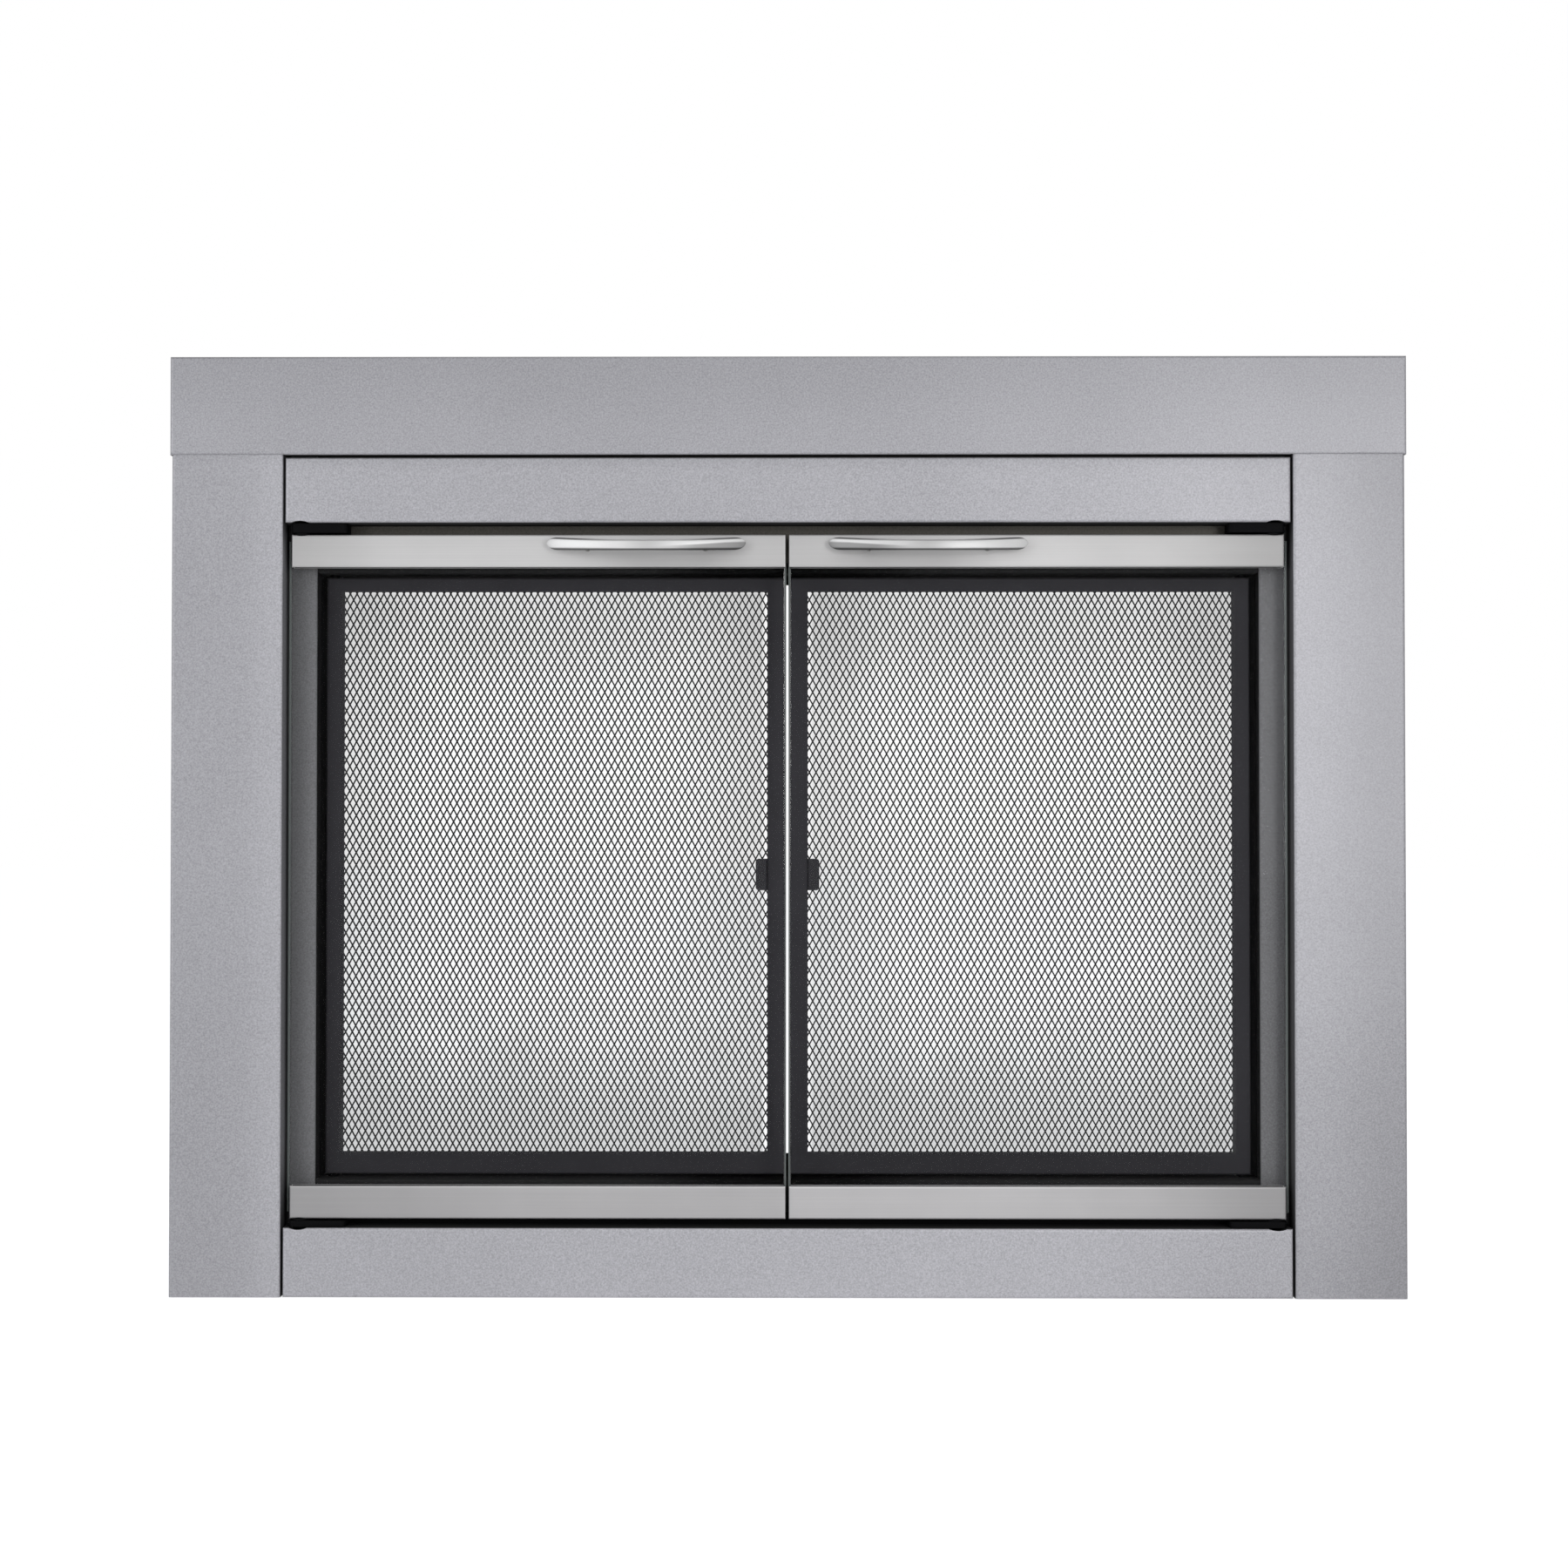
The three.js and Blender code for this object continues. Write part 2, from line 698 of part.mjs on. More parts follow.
function clampPiece() {
  const half = clampThickness / 2;
  const low = doorTopZ - clampHeight;
  const side = alongX(
    roundedRectangle(-half, half, low, doorTopZ, clampRadius), clampFree - spare, clampHinge + spare,
  );
  const plan = alongZ(
    roundedRectangle(clampFree, clampHinge, -half, half, clampRadius), low - spare, doorTopZ + spare,
  );
  const inside = half - clampWall;
  const dimple = turned([
    [0, -bossSink - fit],
    ...[0.5, 0.75, 1].map((share) => {
      const distance = (bossRadius + fit) * share;
      return [distance, -capHeight(bossRadius + fit, bossSink + fit, distance)];
    }),
    [bossRadius + fit, spare],
    [0, spare],
  ]).translate(0, 0, doorTopZ);
  return cut(
    common(side, plan),
    block(clampFree - spare, clampHinge + spare, -inside, inside, low - spare, clampWebZ),
    dimple,
    rodZ(pinRadius + fit, 0, 0, clampWebZ - spare, doorTopZ + spare),
  );
}

function gasketPiece() {
  const inner = glassThickness / 2 + fit;
  const outer = clampThickness / 2 - clampWall - fit;
  const low = doorTopZ - clampHeight + fit;
  const top = clampWebZ - fit;
  const channel = cut(
    block(clampFree + gasketInset, clampHinge - gasketInset, -outer, outer, low, top),
    block(clampFree, clampHinge, -inner, inner, low - spare, top - gasketWeb),
  );
  return cut(channel, rodZ(pinHeadRadius + fit, 0, 0, top - gasketWeb - fit, top + spare));
}

function glassPane() {
  const half = glassThickness / 2;
  const outline = [
    ...arc(hingeEdge - half, 0, half, -Math.PI / 2, Math.PI / 2, 8),
    ...arc(freeEdge + half, 0, half, Math.PI / 2, 1.5 * Math.PI, 8),
  ];
  return alongZ(outline, 2 * doorMiddleZ - glassTopZ, glassTopZ);
}

// Pin with its head under the clamp's web.
function doorPin() {
  const head = clampWebZ - fit;
  return turned([
    [0, head - gasketWeb],
    [pinHeadRadius, head - gasketWeb],
    [pinHeadRadius, head],
    [pinRadius, head],
    [pinRadius, clampWebZ + pinReach - pinChamfer],
    [pinRadius - pinChamfer, clampWebZ + pinReach],
    [0, clampWebZ + pinReach],
  ], 12);
}

// A bowed strap with tapered tips on two posts.
function handlePiece() {
  const half = handleLength / 2;
  const rings = [];
  for (let i = 1; i < handleStations; i += 1) {
    const x = -half * Math.cos(Math.PI * i / handleStations);
    const slope = 2 * (handleMidStandoff - handleEndStandoff) * x / (half * half);
    const normal = new THREE.Vector3(-slope, 1, 0).normalize();
    const beyond = Math.max(0, (Math.abs(x) - (half - handleTip)) / handleTip);
    const taper = Math.sqrt(1 - beyond * beyond);
    const swell = Math.pow(Math.abs(x) / half, handleSwell);
    const height = (handleMidHeight + (handleEndHeight - handleMidHeight) * swell) * taper;
    const thickness = handleThickness * (handleTipShare + (1 - handleTipShare) * taper);
    const ring = [];
    for (let side = 0; side < handleSides; side += 1) {
      const angle = 2 * Math.PI * side / handleSides;
      const point = strapCentre(x);
      point.addScaledVector(normal, Math.cos(angle) * thickness / 2);
      point.z += Math.sign(Math.sin(angle)) * Math.sqrt(Math.abs(Math.sin(angle))) * height / 2;
      ring.push(point);
    }
    rings.push(ring);
  }
  const strap = loft(strapCentre(-half), rings, strapCentre(half));
  const face = -clampThickness / 2 - fit;
  const posts = [-handlePostX, handlePostX].map((x) => {
    const end = strapCentre(x).y;
    return union(
      rodY(handlePostRadius, x, postZ, end, face),
      rodY(handleFootRadius, x, postZ, face - handleFootHeight, face),
    );
  });
  const taps = [-handlePostX, handlePostX].map((x) => rodY(
    screwRadius + fit, x, postZ, face - handleTapDepth, face + spare, 12,
  ));
  return cut(union(strap, ...posts), ...taps).translate(handleX, 0, 0);
}

// Through the clamp and the glass into a post of the handle, its head behind the clamp.
function handleScrew(x) {
  const back = clampThickness / 2 + fit;
  const length = back + clampThickness / 2 + fit + handleTapDepth - handleTapClear;
  return screw(length).rotateX(Math.PI / 2).translate(x, back, postZ);
}

function addGlassDoor(name, side) {
  const door = new THREE.Group();
  door.position.set(side * pivotX, 0, 0);
  model.add(door);
  const sided = (geometry) => (side > 0 ? geometry : mirrored(geometry, 'x'));
  const place = (node, geometry, material) => add(door, `${name}_${node}`, sided(geometry), material);

  const through = (radius, sides) => handleScrewXs.map((x) => rodY(
    radius, x, postZ, -clampThickness, clampThickness, sides,
  ));
  const clamp = clampPiece();
  const gasket = gasketPiece();
  const pin = doorPin();
  place('glass', cut(glassPane(), ...through(screwRadius + 2 * fit, 16)), glass);
  place('top_clamp', cut(clamp, ...through(screwRadius + fit, 12)), clampNickel);
  place('bottom_clamp', mirroredAtHeight(clamp, doorMiddleZ), clampNickel);
  place('top_gasket', cut(gasket, ...through(screwRadius + 2 * fit, 16)), rubber);
  place('bottom_gasket', mirroredAtHeight(gasket, doorMiddleZ), rubber);
  place('handle', handlePiece(), handleNickel);
  place('handle_inner_screw', handleScrew(handleScrewXs[0]), zinc);
  place('handle_outer_screw', handleScrew(handleScrewXs[1]), zinc);
  place('top_pin', pin, zinc);
  place('bottom_pin', mirroredAtHeight(pin, doorMiddleZ), zinc);
}

// ---------------------------------------------------------------- magnetic catches

function addCatches() {
  const back = flangeY - fit;
  const low = openingTopZ + fit;
  const plate = block(
    catchOffset - catchWidth / 2, catchOffset + catchWidth / 2, back - sheet, back, low, low + catchHeight,
  );
  const middleZ = low + catchHeight / 2;
  const magnet = block(
    catchOffset - catchBlockWidth / 2, catchOffset + catchBlockWidth / 2,
    clampThickness / 2 + fit, back - sheet / 2,
    middleZ - catchBlockHeight / 2, middleZ + catchBlockHeight / 2,
  );
  const catchPiece = union(plate, magnet);
  add(model, 'right_magnet_catch', catchPiece, blackSteel);
  add(model, 'left_magnet_catch', mirrored(catchPiece, 'x'), blackSteel);
}

// ---------------------------------------------------------------- screen doors

// Made for the right-hand screen, about its own pivot axis.
const screenFree = -(screenPivotX - screenGap / 2);
const screenHinge = screenPivotInset;
const screenFace = -screenDepth / 2;

function screenFrame() {
  const outer = pressedBlock(
    screenFree, screenHinge, screenBottomZ, screenTopZ, screenFace, -screenFace, screenEdgeRadius,
  );
  const hollow = pressedBlock(
    screenFree + screenSheet, screenHinge - screenSheet,
    screenBottomZ + screenSheet, screenTopZ - screenSheet,
    screenFace + screenSheet, -screenFace + spare,
    screenEdgeRadius - screenSheet,
  );
  const opening = block(
    screenFree + screenStile, screenHinge - screenStile,
    -screenDepth, screenDepth,
    screenBottomZ + screenBottomRail, screenTopZ - screenTopRail,
  );
  const pinHole = rodZ(screenPinRadius + fit, 0, 0, screenBottomZ - spare, screenTopZ + spare, 16);
  return cut(outer, hollow, opening, pinHole);
}

// Diamonds in staggered rows, cut square at the frame. Strands keep their width on the slant.
function meshPanel() {
  const left = screenFree + screenStile;
  const right = screenHinge - screenStile;
  const low = screenBottomZ + screenBottomRail;
  const high = screenTopZ - screenTopRail;
  const halfPitchX = (right - left) / meshColumns / 2;
  const halfPitchZ = (high - low) / meshRows / 2;
  const shrink = meshStrand / 2 * Math.hypot(1 / halfPitchX, 1 / halfPitchZ);
  const reachX = halfPitchX * (1 - shrink);
  const reachZ = halfPitchZ * (1 - shrink);

  const front = screenFace + screenSheet + fit;
  const back = front + meshThickness;
  const diamonds = [];
  for (let column = 0; column <= 2 * meshColumns; column += 1) {
    for (let row = column % 2; row <= 2 * meshRows; row += 2) {
      const diamond = new THREE.Shape([
        new THREE.Vector2(reachX, 0),
        new THREE.Vector2(0, reachZ),
        new THREE.Vector2(-reachX, 0),
        new THREE.Vector2(0, -reachZ),
      ]);
      const prism = alongY(diamond, front - spare, back + spare);
      diamonds.push(prism.translate(left + column * halfPitchX, 0, low + row * halfPitchZ));
    }
  }
  const field = block(left, right, front - spare, back + spare, low, high);
  const openings = common(mergeGeometries(diamonds), field);
  const edge = screenSheet + fit;
  const sheetPanel = block(
    screenFree + edge, screenHinge - edge, front, back, screenBottomZ + edge, screenTopZ - edge,
  );
  const notch = screenPinRadius + 2 * fit;
  return cut(
    sheetPanel,
    openings,
    block(-notch, screenHinge, -screenDepth, screenDepth, screenTopZ - 3 * screenPinReach, screenTopZ),
    block(-notch, screenHinge, -screenDepth, screenDepth, screenBottomZ, screenBottomZ + 3 * screenPinReach),
    tabSlot(),
  );
}

// A pull tab bent from strip: a finger plate in front of the mesh, a web through it and a
// foot behind the stile.
const tabX = screenFree + screenStile + fit;
const tabFrontY = screenFace - tabStandoff;
const tabFootY = screenFace + screenSheet + fit + meshThickness + fit;

function tabSlot() {
  return block(
    tabX - fit, tabX + tabThickness + fit, -screenDepth, screenDepth,
    tabMiddleZ - tabHeight / 2 - fit, tabMiddleZ + tabHeight / 2 + fit,
  );
}

function pullTab() {
  const section = [
    new THREE.Vector2(tabX + tabWidth, tabFrontY),
    new THREE.Vector2(tabX + tabWidth, tabFrontY + tabThickness),
    new THREE.Vector2(tabX + tabThickness, tabFrontY + tabThickness),
    new THREE.Vector2(tabX + tabThickness, tabFootY + tabThickness),
    new THREE.Vector2(tabX - tabFoot, tabFootY + tabThickness),
    new THREE.Vector2(tabX - tabFoot, tabFootY),
    new THREE.Vector2(tabX, tabFootY),
    ...arc(tabX + tabThickness, tabFrontY + tabThickness, tabThickness, Math.PI, 1.5 * Math.PI),
  ];
  const strip = alongZ(section, tabMiddleZ - tabHeight / 2, tabMiddleZ + tabHeight / 2);
  const rounded = new THREE.Shape(roundedRectangle(
    tabX - tabFoot, tabX + tabWidth, tabMiddleZ - tabHeight / 2, tabMiddleZ + tabHeight / 2, tabCorner,
  ));
  return common(strip, alongY(rounded, -screenDepth - tabStandoff, screenDepth));
}

// Pin with a collar that carries the screen clear of the web.
function screenPin() {
  const low = screenTopZ + fit;
  const high = headWebZ - fit;
  return turned([
    [0, screenTopZ - screenPinReach],
    [screenPinRadius, screenTopZ - screenPinReach],
    [screenPinRadius, low],
    [screenCollarRadius, low],
    [screenCollarRadius, high],
    [screenPinRadius, high],
    [screenPinRadius, headWebZ + screenPinReach - pinChamfer],
    [screenPinRadius - pinChamfer, headWebZ + screenPinReach],
    [0, headWebZ + screenPinReach],
  ], 12);
}

function addScreenDoor(name, side) {
  const door = new THREE.Group();
  door.position.set(side * screenPivotX, screenMidY, 0);
  model.add(door);
  const sided = (geometry) => (side > 0 ? geometry : mirrored(geometry, 'x'));
  const place = (node, geometry, material) => add(door, `${name}_${node}`, sided(geometry), material);
  const pin = screenPin();
  const screenMiddleZ = (screenTopZ + screenBottomZ) / 2;
  place('frame', screenFrame(), screenBlack);
  place('mesh', meshPanel(), screenBlack);
  place('pull_tab', pullTab(), blackSteel);
  place('top_pin', pin, zinc);
  place('bottom_pin', mirroredAtHeight(pin, screenMiddleZ), zinc);
}

// ---------------------------------------------------------------- anchors

function addFloorBrackets() {
  const x = jambX + anchorInset;
  const section = sheetSection([
    [rearFrontY, rearBottomZ - seam],
    [rearFrontY, 0],
    [rearFrontY + footReach, 0],
  ], bracketSteel, bendInside);
  const holeY = rearFrontY + footReach - footHoleFromEnd;
  const bracket = cut(
    alongX(section, x - footWidth / 2, x + footWidth / 2),
    rodZ(footHole, x, holeY, -spare, bracketSteel + spare),
  );
  add(model, 'right_floor_bracket', bracket, zinc);
  add(model, 'left_floor_bracket', mirrored(bracket, 'x'), zinc);
}

function addLintelClamps() {
  const armZ = lintelBottomZ - lintelClampBelowTop;
  const section = sheetSection([
    [rearFrontY, armZ + lintelClampHeight],
    [rearFrontY, armZ],
    [rearFrontY + lintelClampReach, armZ],
  ], bracketSteel, bendInside);
  const boltY = rearFrontY + lintelClampReach - lintelBoltFromEnd;
  const x = lintelClampOffset;
  const arm = cut(
    alongX(section, x - lintelClampWidth / 2, x + lintelClampWidth / 2),
    rodZ(lintelBoltRadius + fit, x, boltY, armZ - spare, armZ + bracketSteel + spare),
  );
  add(model, 'right_lintel_clamp', arm, zinc);
  add(model, 'left_lintel_clamp', mirrored(arm, 'x'), zinc);

  const low = armZ - lintelBoltBelow;
  const high = low + lintelBoltLength;
  const bolt = union(
    rodZ(lintelBoltRadius, x, boltY, low + boltHeadHeight / 2, high),
    rodZ(boltHeadRadius, x, boltY, low, low + boltHeadHeight, 6),
    rodZ(lintelPadRadius, x, boltY, high - lintelPadHeight, high),
  );
  add(model, 'right_lintel_bolt', bolt, zinc);
  add(model, 'left_lintel_bolt', mirrored(bolt, 'x'), zinc);
}

// ---------------------------------------------------------------- assembly

addLintel();
addColumns();
addRails();
addInnerFrame();
addRearFrame();
addHingeBrackets();
addCatches();
addFloorBrackets();
addLintelClamps();
addGlassDoor('right_door', 1);
addGlassDoor('left_door', -1);
addScreenDoor('right_screen', 1);
addScreenDoor('left_screen', -1);

export default model;
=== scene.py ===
"""Looks of a fireplace glass door: satin nickel surround, clamped glass doors, mesh screen doors.

Metres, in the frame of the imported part: +X to the right seen from the front, +Y into the
firebox, +Z up, the hearth at z = 0.
"""

import math

import bmesh
import bpy
from mathutils import Euler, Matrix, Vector


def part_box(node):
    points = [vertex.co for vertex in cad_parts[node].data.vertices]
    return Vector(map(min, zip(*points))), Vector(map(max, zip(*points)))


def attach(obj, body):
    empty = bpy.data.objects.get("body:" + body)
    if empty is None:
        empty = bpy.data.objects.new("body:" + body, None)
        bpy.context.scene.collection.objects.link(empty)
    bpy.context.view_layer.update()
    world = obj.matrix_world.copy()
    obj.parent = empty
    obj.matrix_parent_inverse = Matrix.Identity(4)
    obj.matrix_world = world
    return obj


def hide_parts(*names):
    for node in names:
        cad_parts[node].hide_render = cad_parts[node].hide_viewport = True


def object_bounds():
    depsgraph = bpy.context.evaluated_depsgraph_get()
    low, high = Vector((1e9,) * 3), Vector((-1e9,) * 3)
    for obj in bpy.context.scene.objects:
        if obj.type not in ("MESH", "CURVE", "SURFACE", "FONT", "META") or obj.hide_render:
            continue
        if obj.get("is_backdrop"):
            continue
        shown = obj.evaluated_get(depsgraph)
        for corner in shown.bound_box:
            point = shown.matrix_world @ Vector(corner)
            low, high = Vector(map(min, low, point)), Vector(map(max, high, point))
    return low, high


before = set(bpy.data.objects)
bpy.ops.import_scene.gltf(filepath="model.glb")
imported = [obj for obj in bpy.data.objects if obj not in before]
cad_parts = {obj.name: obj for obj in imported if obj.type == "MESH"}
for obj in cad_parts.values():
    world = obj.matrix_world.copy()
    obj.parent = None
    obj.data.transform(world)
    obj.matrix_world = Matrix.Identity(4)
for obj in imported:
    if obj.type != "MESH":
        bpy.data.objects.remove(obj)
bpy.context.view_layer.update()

MM = 0.001
SIDES = {"left": -1, "right": 1}

# ---------------------------------------------------------------- view

FACE_Y = -0.013                  # front of the columns
CAMERA_DISTANCE = 2.2            # from the camera to the front of the columns
CAMERA_X = 0.0139
CAMERA_Z = 0.3722
CAMERA_PITCH = math.radians(1.109)
CAMERA_YAW = math.radians(0.429)
CAMERA_ROLL = math.radians(0.016)
CAMERA_CLIP = (0.05, 200)
FOCAL_PX = 3121.1                # in an image 1800 pixels wide
IMAGE_SIZE = 1800
SENSOR = 36.0

# ---------------------------------------------------------------- screens

STILE = 15.1 * MM
TOP_RAIL = 11.8 * MM
BOTTOM_RAIL = 18.7 * MM
NET_PITCH_X = 5.55 * MM
NET_PITCH_Z = 10.2 * MM
NET_STRAND = 1.13 * MM
NET_BOND = 1.2 * MM              # half height of a bond
NET_THICKNESS = 0.9 * MM
NET_TWIST = 0.22 * MM            # how far a bond's sides stand before and behind its middle
NET_TUCK = 5 * MM                # net hidden behind the frame

# ---------------------------------------------------------------- handles

HANDLE_LENGTH = 161 * MM
HANDLE_PITCH = 96 * MM           # from post to post
HANDLE_X = 114.4 * MM
CLAMP_FRONT_Y = -6 * MM
STRAP_END_Z = 610.0 * MM
STRAP_DROOP = 3.4 * MM
STRAP_END_OUT = 7 * MM
STRAP_MIDDLE_OUT = 27 * MM
STRAP_END_HEIGHT = 10.6 * MM
STRAP_MIDDLE_HEIGHT = 8.4 * MM
STRAP_THICKNESS = 3.4 * MM
STRAP_TIP = 9.5 * MM             # length of the rounded tip
STRAP_TIP_THICKNESS = 0.35       # share of the thickness that is left at the tip
STRAP_SWELL = 1.5                # exponent of the growth in height towards the ends
STRAP_SQUARENESS = 0.6           # exponent of the section: 1 is an ellipse, 0 a rectangle
STRAP_STATIONS = 120
ROUND_SIDES = 40
POST_RADIUS = 3.2 * MM
POST_RISE = 1.1 * MM             # posts stand a little above the strap's middle
POST_FILLET = 1.2 * MM
POST_FILLET_MIDDLE = 0.3         # where the fillet's middle point lies, as a share of it
FOOT_RADIUS = 3.8 * MM
FOOT_HEIGHT = 2 * MM
FOOT_GAP = 0.0003                # between the foot and the clamp
FOOT_BEVEL_BACK = (0.0003, 0.0004)    # across the foot and along it
FOOT_BEVEL_FRONT = (0.0004, 0.0005)
HANDLE_SMOOTH_ANGLE = math.radians(50)

# ---------------------------------------------------------------- measures of the finishes

NOISE_RANGE = (0.3, 0.7)         # most of a noise lies between these values

# Painted shade: surfaces of the surround that face the opening are darkened in colour as if in
# shade.
OPENING_MIDDLE = (0.0, 0.0, 0.34)
OPENING_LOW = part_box("bottom_rail")[1].z
OPENING_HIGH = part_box("top_rail")[0].z
RETURN_TURN = (0.03, 0.10)       # how far a surface turns to the opening before painted shade darkens it
BEND_TURN = (0.15, 0.5)          # the bends between face and return get the least painted shade
RETURN_END = (0.425, 0.440)      # beyond this distance from the middle nothing faces the opening
RETURN_ROUGHNESS = 0.85
RETURN_FADES = [                 # axis, edge, reach, shade; the painted shade deepens towards the bottom, the top and the back
    ("Z", OPENING_LOW, -0.070, 0.15),
    ("Z", OPENING_HIGH, 0.030, 0.4),
    ("Y", 0.009, 0.005, 0.06),
]

GRAIN_SCALE = 750.0
GRAIN_CONTRAST = 0.24
GRAIN_DEPTH = 0.00001
DRIFT_SCALE = 7.0                # slow change of the colour over a sheet
DRIFT = 0.03

NICKEL = (0.400, 0.396, 0.420)
NICKEL_METALLIC = 0.35
NICKEL_ROUGHNESS = 0.45

CLAMP_METALLIC = 0.25
CLAMP_ROUGHNESS = 0.45
CLAMP_BRUSH = (4, 900, 900)      # noise cells per metre: lines along X
CLAMP_CONTRAST = 0.04
CLAMP_CLOUD = 0.02
CLAMP_DEPTH = 0.00001

HANDLE_SHADE_X = 0.100           # middle of the handle's shade on the clamp
HANDLE_SHADE_Z = 0.598
HANDLE_SHADE_REACH = (0.062, 0.022)
HANDLE_SHADE_FADE = (0.35, 1.3)  # share of the reach where the shade starts to fade and has faded
HANDLE_SHADE = 0.76

# Light is painted on the strap: a painted highlight, painted grey shade, a dim waist, dark rims
# painted as reflections and a lighter left handle.
# Along the strap, -1 is its tip next to the other door and 1 its outer tip; up it, -1 is its
# lower rim and 1 its upper rim.
BOW_COLOUR = (0.70, 0.695, 0.69)
BOW_METALLIC = 0.25
BOW_ROUGHNESS = 0.42
BOW_BRUSH = (20, 1200, 1200)
BOW_BRUSH_CONTRAST = 0.03
BOW_DEPTH = 0.000004
BOW_GREY_START = (-0.05, -0.6)   # the painted grey shade below the bright line grows along this stretch
BOW_GREY = 0.60
BOW_LINE_STRETCH = (-0.1, -0.8)  # the painted highlight's lower side climbs along this stretch
BOW_LINE_RISE = (-0.30, 0.22)
BOW_LINE_BLUR = 0.15
BOW_WAIST = -0.02                # middle of a dim stretch of painted shade
BOW_WAIST_REACH = 0.3
BOW_WAIST_SHADE = 0.80
# dark rims painted as reflections
BOW_UPPER_RIM = (0.60, 0.80)
BOW_LOWER_RIM = (-0.55, -0.85)
BOW_RIM_SHADE = 0.16
BOW_RIM_SHADE_MIDDLE = 0.55      # the painted dark of the upper rim is paler in the middle of the strap
BOW_RIM_PALE_END = 0.5           # up to here, as the square of the distance along it
BOW_SIDE_X = (-0.12, 0.12)       # painted light: the left handle is lighter than the right one
BOW_SIDE_LEVELS = (1.06, 0.93)

# Painted shade on the glass darkens the screen behind it towards its rim; it fades inside the
# frame of that screen.
GLASS_SHADE_START = 0.005               # it begins over this width
GLASS_SHADE_REACH_SIDE = 0.09           # and has faded at these distances
GLASS_SHADE_REACH_TOP = 0.12
GLASS_SHADE_REACH_BOTTOM = 0.150
GLASS_SHADE_SIDE = 0.21
GLASS_SHADE_TOP = 0.22
GLASS_SHADE_BOTTOM = 0.38
GLASS_SHADE_LIFT = 0.20                 # at the sides it is thin below this height over the screen's foot
GLASS_SHADE_THIN = 0.3                  # share of it that is left there
GLASS_SHADE_CLOUD_SCALE = 16.0
GLASS_SHADE_CLOUD = (0.8, 1.2)
CLEAR_ALPHA = 0.010
GRAZING_POWER = 4.0
GRAZING_ALPHA = 0.6
GLASS_RIM = 0.0018               # ground edge, seen as a light line: partly the ground glass, partly a painted highlight of its rounded edge
GLASS_RIM_BLUR = 0.0003
GROUND_TURN = (0.6, 0.97)        # a face that looks this little along Y is ground
GROUND_ALPHA = 0.62
RIM_SHADOW_FROM = 0.0012         # dark line beside the ground edge
RIM_SHADOW_TO = 0.0008
RIM_SHADOW = 0.25
MEETING_RIM = 0.0022             # painted shade in the slit where the panes meet
MEETING_BLUR = 0.0005
MEETING_ALPHAS = (0.35, 0.85)    # at half height and at the ends
GLASS_DARK = (0.012, 0.014, 0.014, 1)
GLASS_GROUND = (0.26, 0.29, 0.28, 1)
GLASS_ROUGHNESS = (0.03, 0.35)   # of the pane and of its ground edge
GLASS_IOR = 1.5

# ---------------------------------------------------------------- studio

WHITE = (1, 1, 1, 1)
FLOOR_COLOUR = (0.9, 0.9, 0.9)
FLOOR_GLOW = 0.64                # with the lamps' light this makes white
FLOOR_HALF = 30.0
FLOOR_Z = -0.0004
SKY_COLOUR = (0.95, 0.97, 1.0, 1)
SKY_STRENGTH = 0.42


# ---------------------------------------------------------------- nodes

class Shader:
    """A material, or the world, with a few shorthands for its nodes."""

    def __init__(self, owner):
        owner.use_nodes = True
        self.tree = owner.node_tree
        self.tree.nodes.clear()

    def node(self, kind, inputs=None, **settings):
        made = self.tree.nodes.new(kind)
        for key, value in settings.items():
            setattr(made, key, value)
        for key, value in (inputs or {}).items():
            self.feed(made.inputs[key], value)
        return made

    def feed(self, socket, value):
        if isinstance(value, bpy.types.NodeSocket):
            self.tree.links.new(value, socket)
        elif isinstance(value, bpy.types.Node):
            self.tree.links.new(value.outputs[0], socket)
        else:
            socket.default_value = value

    def math(self, operation, *values, clamp=False):
        made = self.node("ShaderNodeMath", operation=operation, use_clamp=clamp)
        for socket, value in zip(made.inputs, values):
            self.feed(socket, value)
        return made.outputs[0]

    def product(self, first, *others):
        for value in others:
            first = self.math("MULTIPLY", first, value)
        return first

    def vector(self, operation, *values):
        inputs = dict(enumerate(values))
        return self.node("ShaderNodeVectorMath", inputs, operation=operation).outputs

    def tint(self, colour, factor):
        """The colour times a factor."""
        return self.node("ShaderNodeVectorMath", {0: colour[:3], "Scale": factor},
                         operation="SCALE").outputs["Vector"]

    def noise(self, vector, scale, detail=3.0, roughness=0.5):
        return self.node("ShaderNodeTexNoise", {
            "Vector": vector, "Scale": scale, "Detail": detail, "Roughness": roughness,
        }).outputs["Fac"]

    def spread(self, value, low, high, out_low, out_high, smooth=False):
        return self.node("ShaderNodeMapRange", {
            "Value": value, "From Min": low, "From Max": high,
            "To Min": out_low, "To Max": out_high,
        }, interpolation_type="SMOOTHSTEP" if smooth else "LINEAR").outputs["Result"]

    def vary(self, noise, middle, swing):
        """A noise spread evenly about a middle value."""
        return self.spread(noise, *NOISE_RANGE, middle - swing, middle + swing)

    def here(self):
        return self.node("ShaderNodeTexCoord").outputs["Object"]

    def parts(self, vector):
        """The X, Y and Z of a vector."""
        return self.node("ShaderNodeSeparateXYZ", {0: vector}).outputs

    def bump(self, height, distance):
        made = self.node("ShaderNodeBump", {"Height": height, "Distance": distance})
        return made.outputs["Normal"]

    def finish(self, inputs):
        surface = self.node("ShaderNodeBsdfPrincipled", inputs)
        self.node("ShaderNodeOutputMaterial", {"Surface": surface})


def new_material(name):
    material = bpy.data.materials.new(name)
    return material, Shader(material)


def band(s, place, axis, edge, reach, shade):
    """A factor that runs from 1 to the shade over the reach up to an edge.

    X counts from the middle outwards on both sides, RIGHT only to the right.
    """
    if axis == "X":
        value = s.math("ABSOLUTE", place["X"])
    else:
        value = place["X" if axis == "RIGHT" else axis]
    return s.spread(value, edge - reach, edge, 1.0, shade, smooth=True)


def all_bands(s, place, bands):
    return [band(s, place, *settings) for settings in bands]


# ---------------------------------------------------------------- kinds of finish

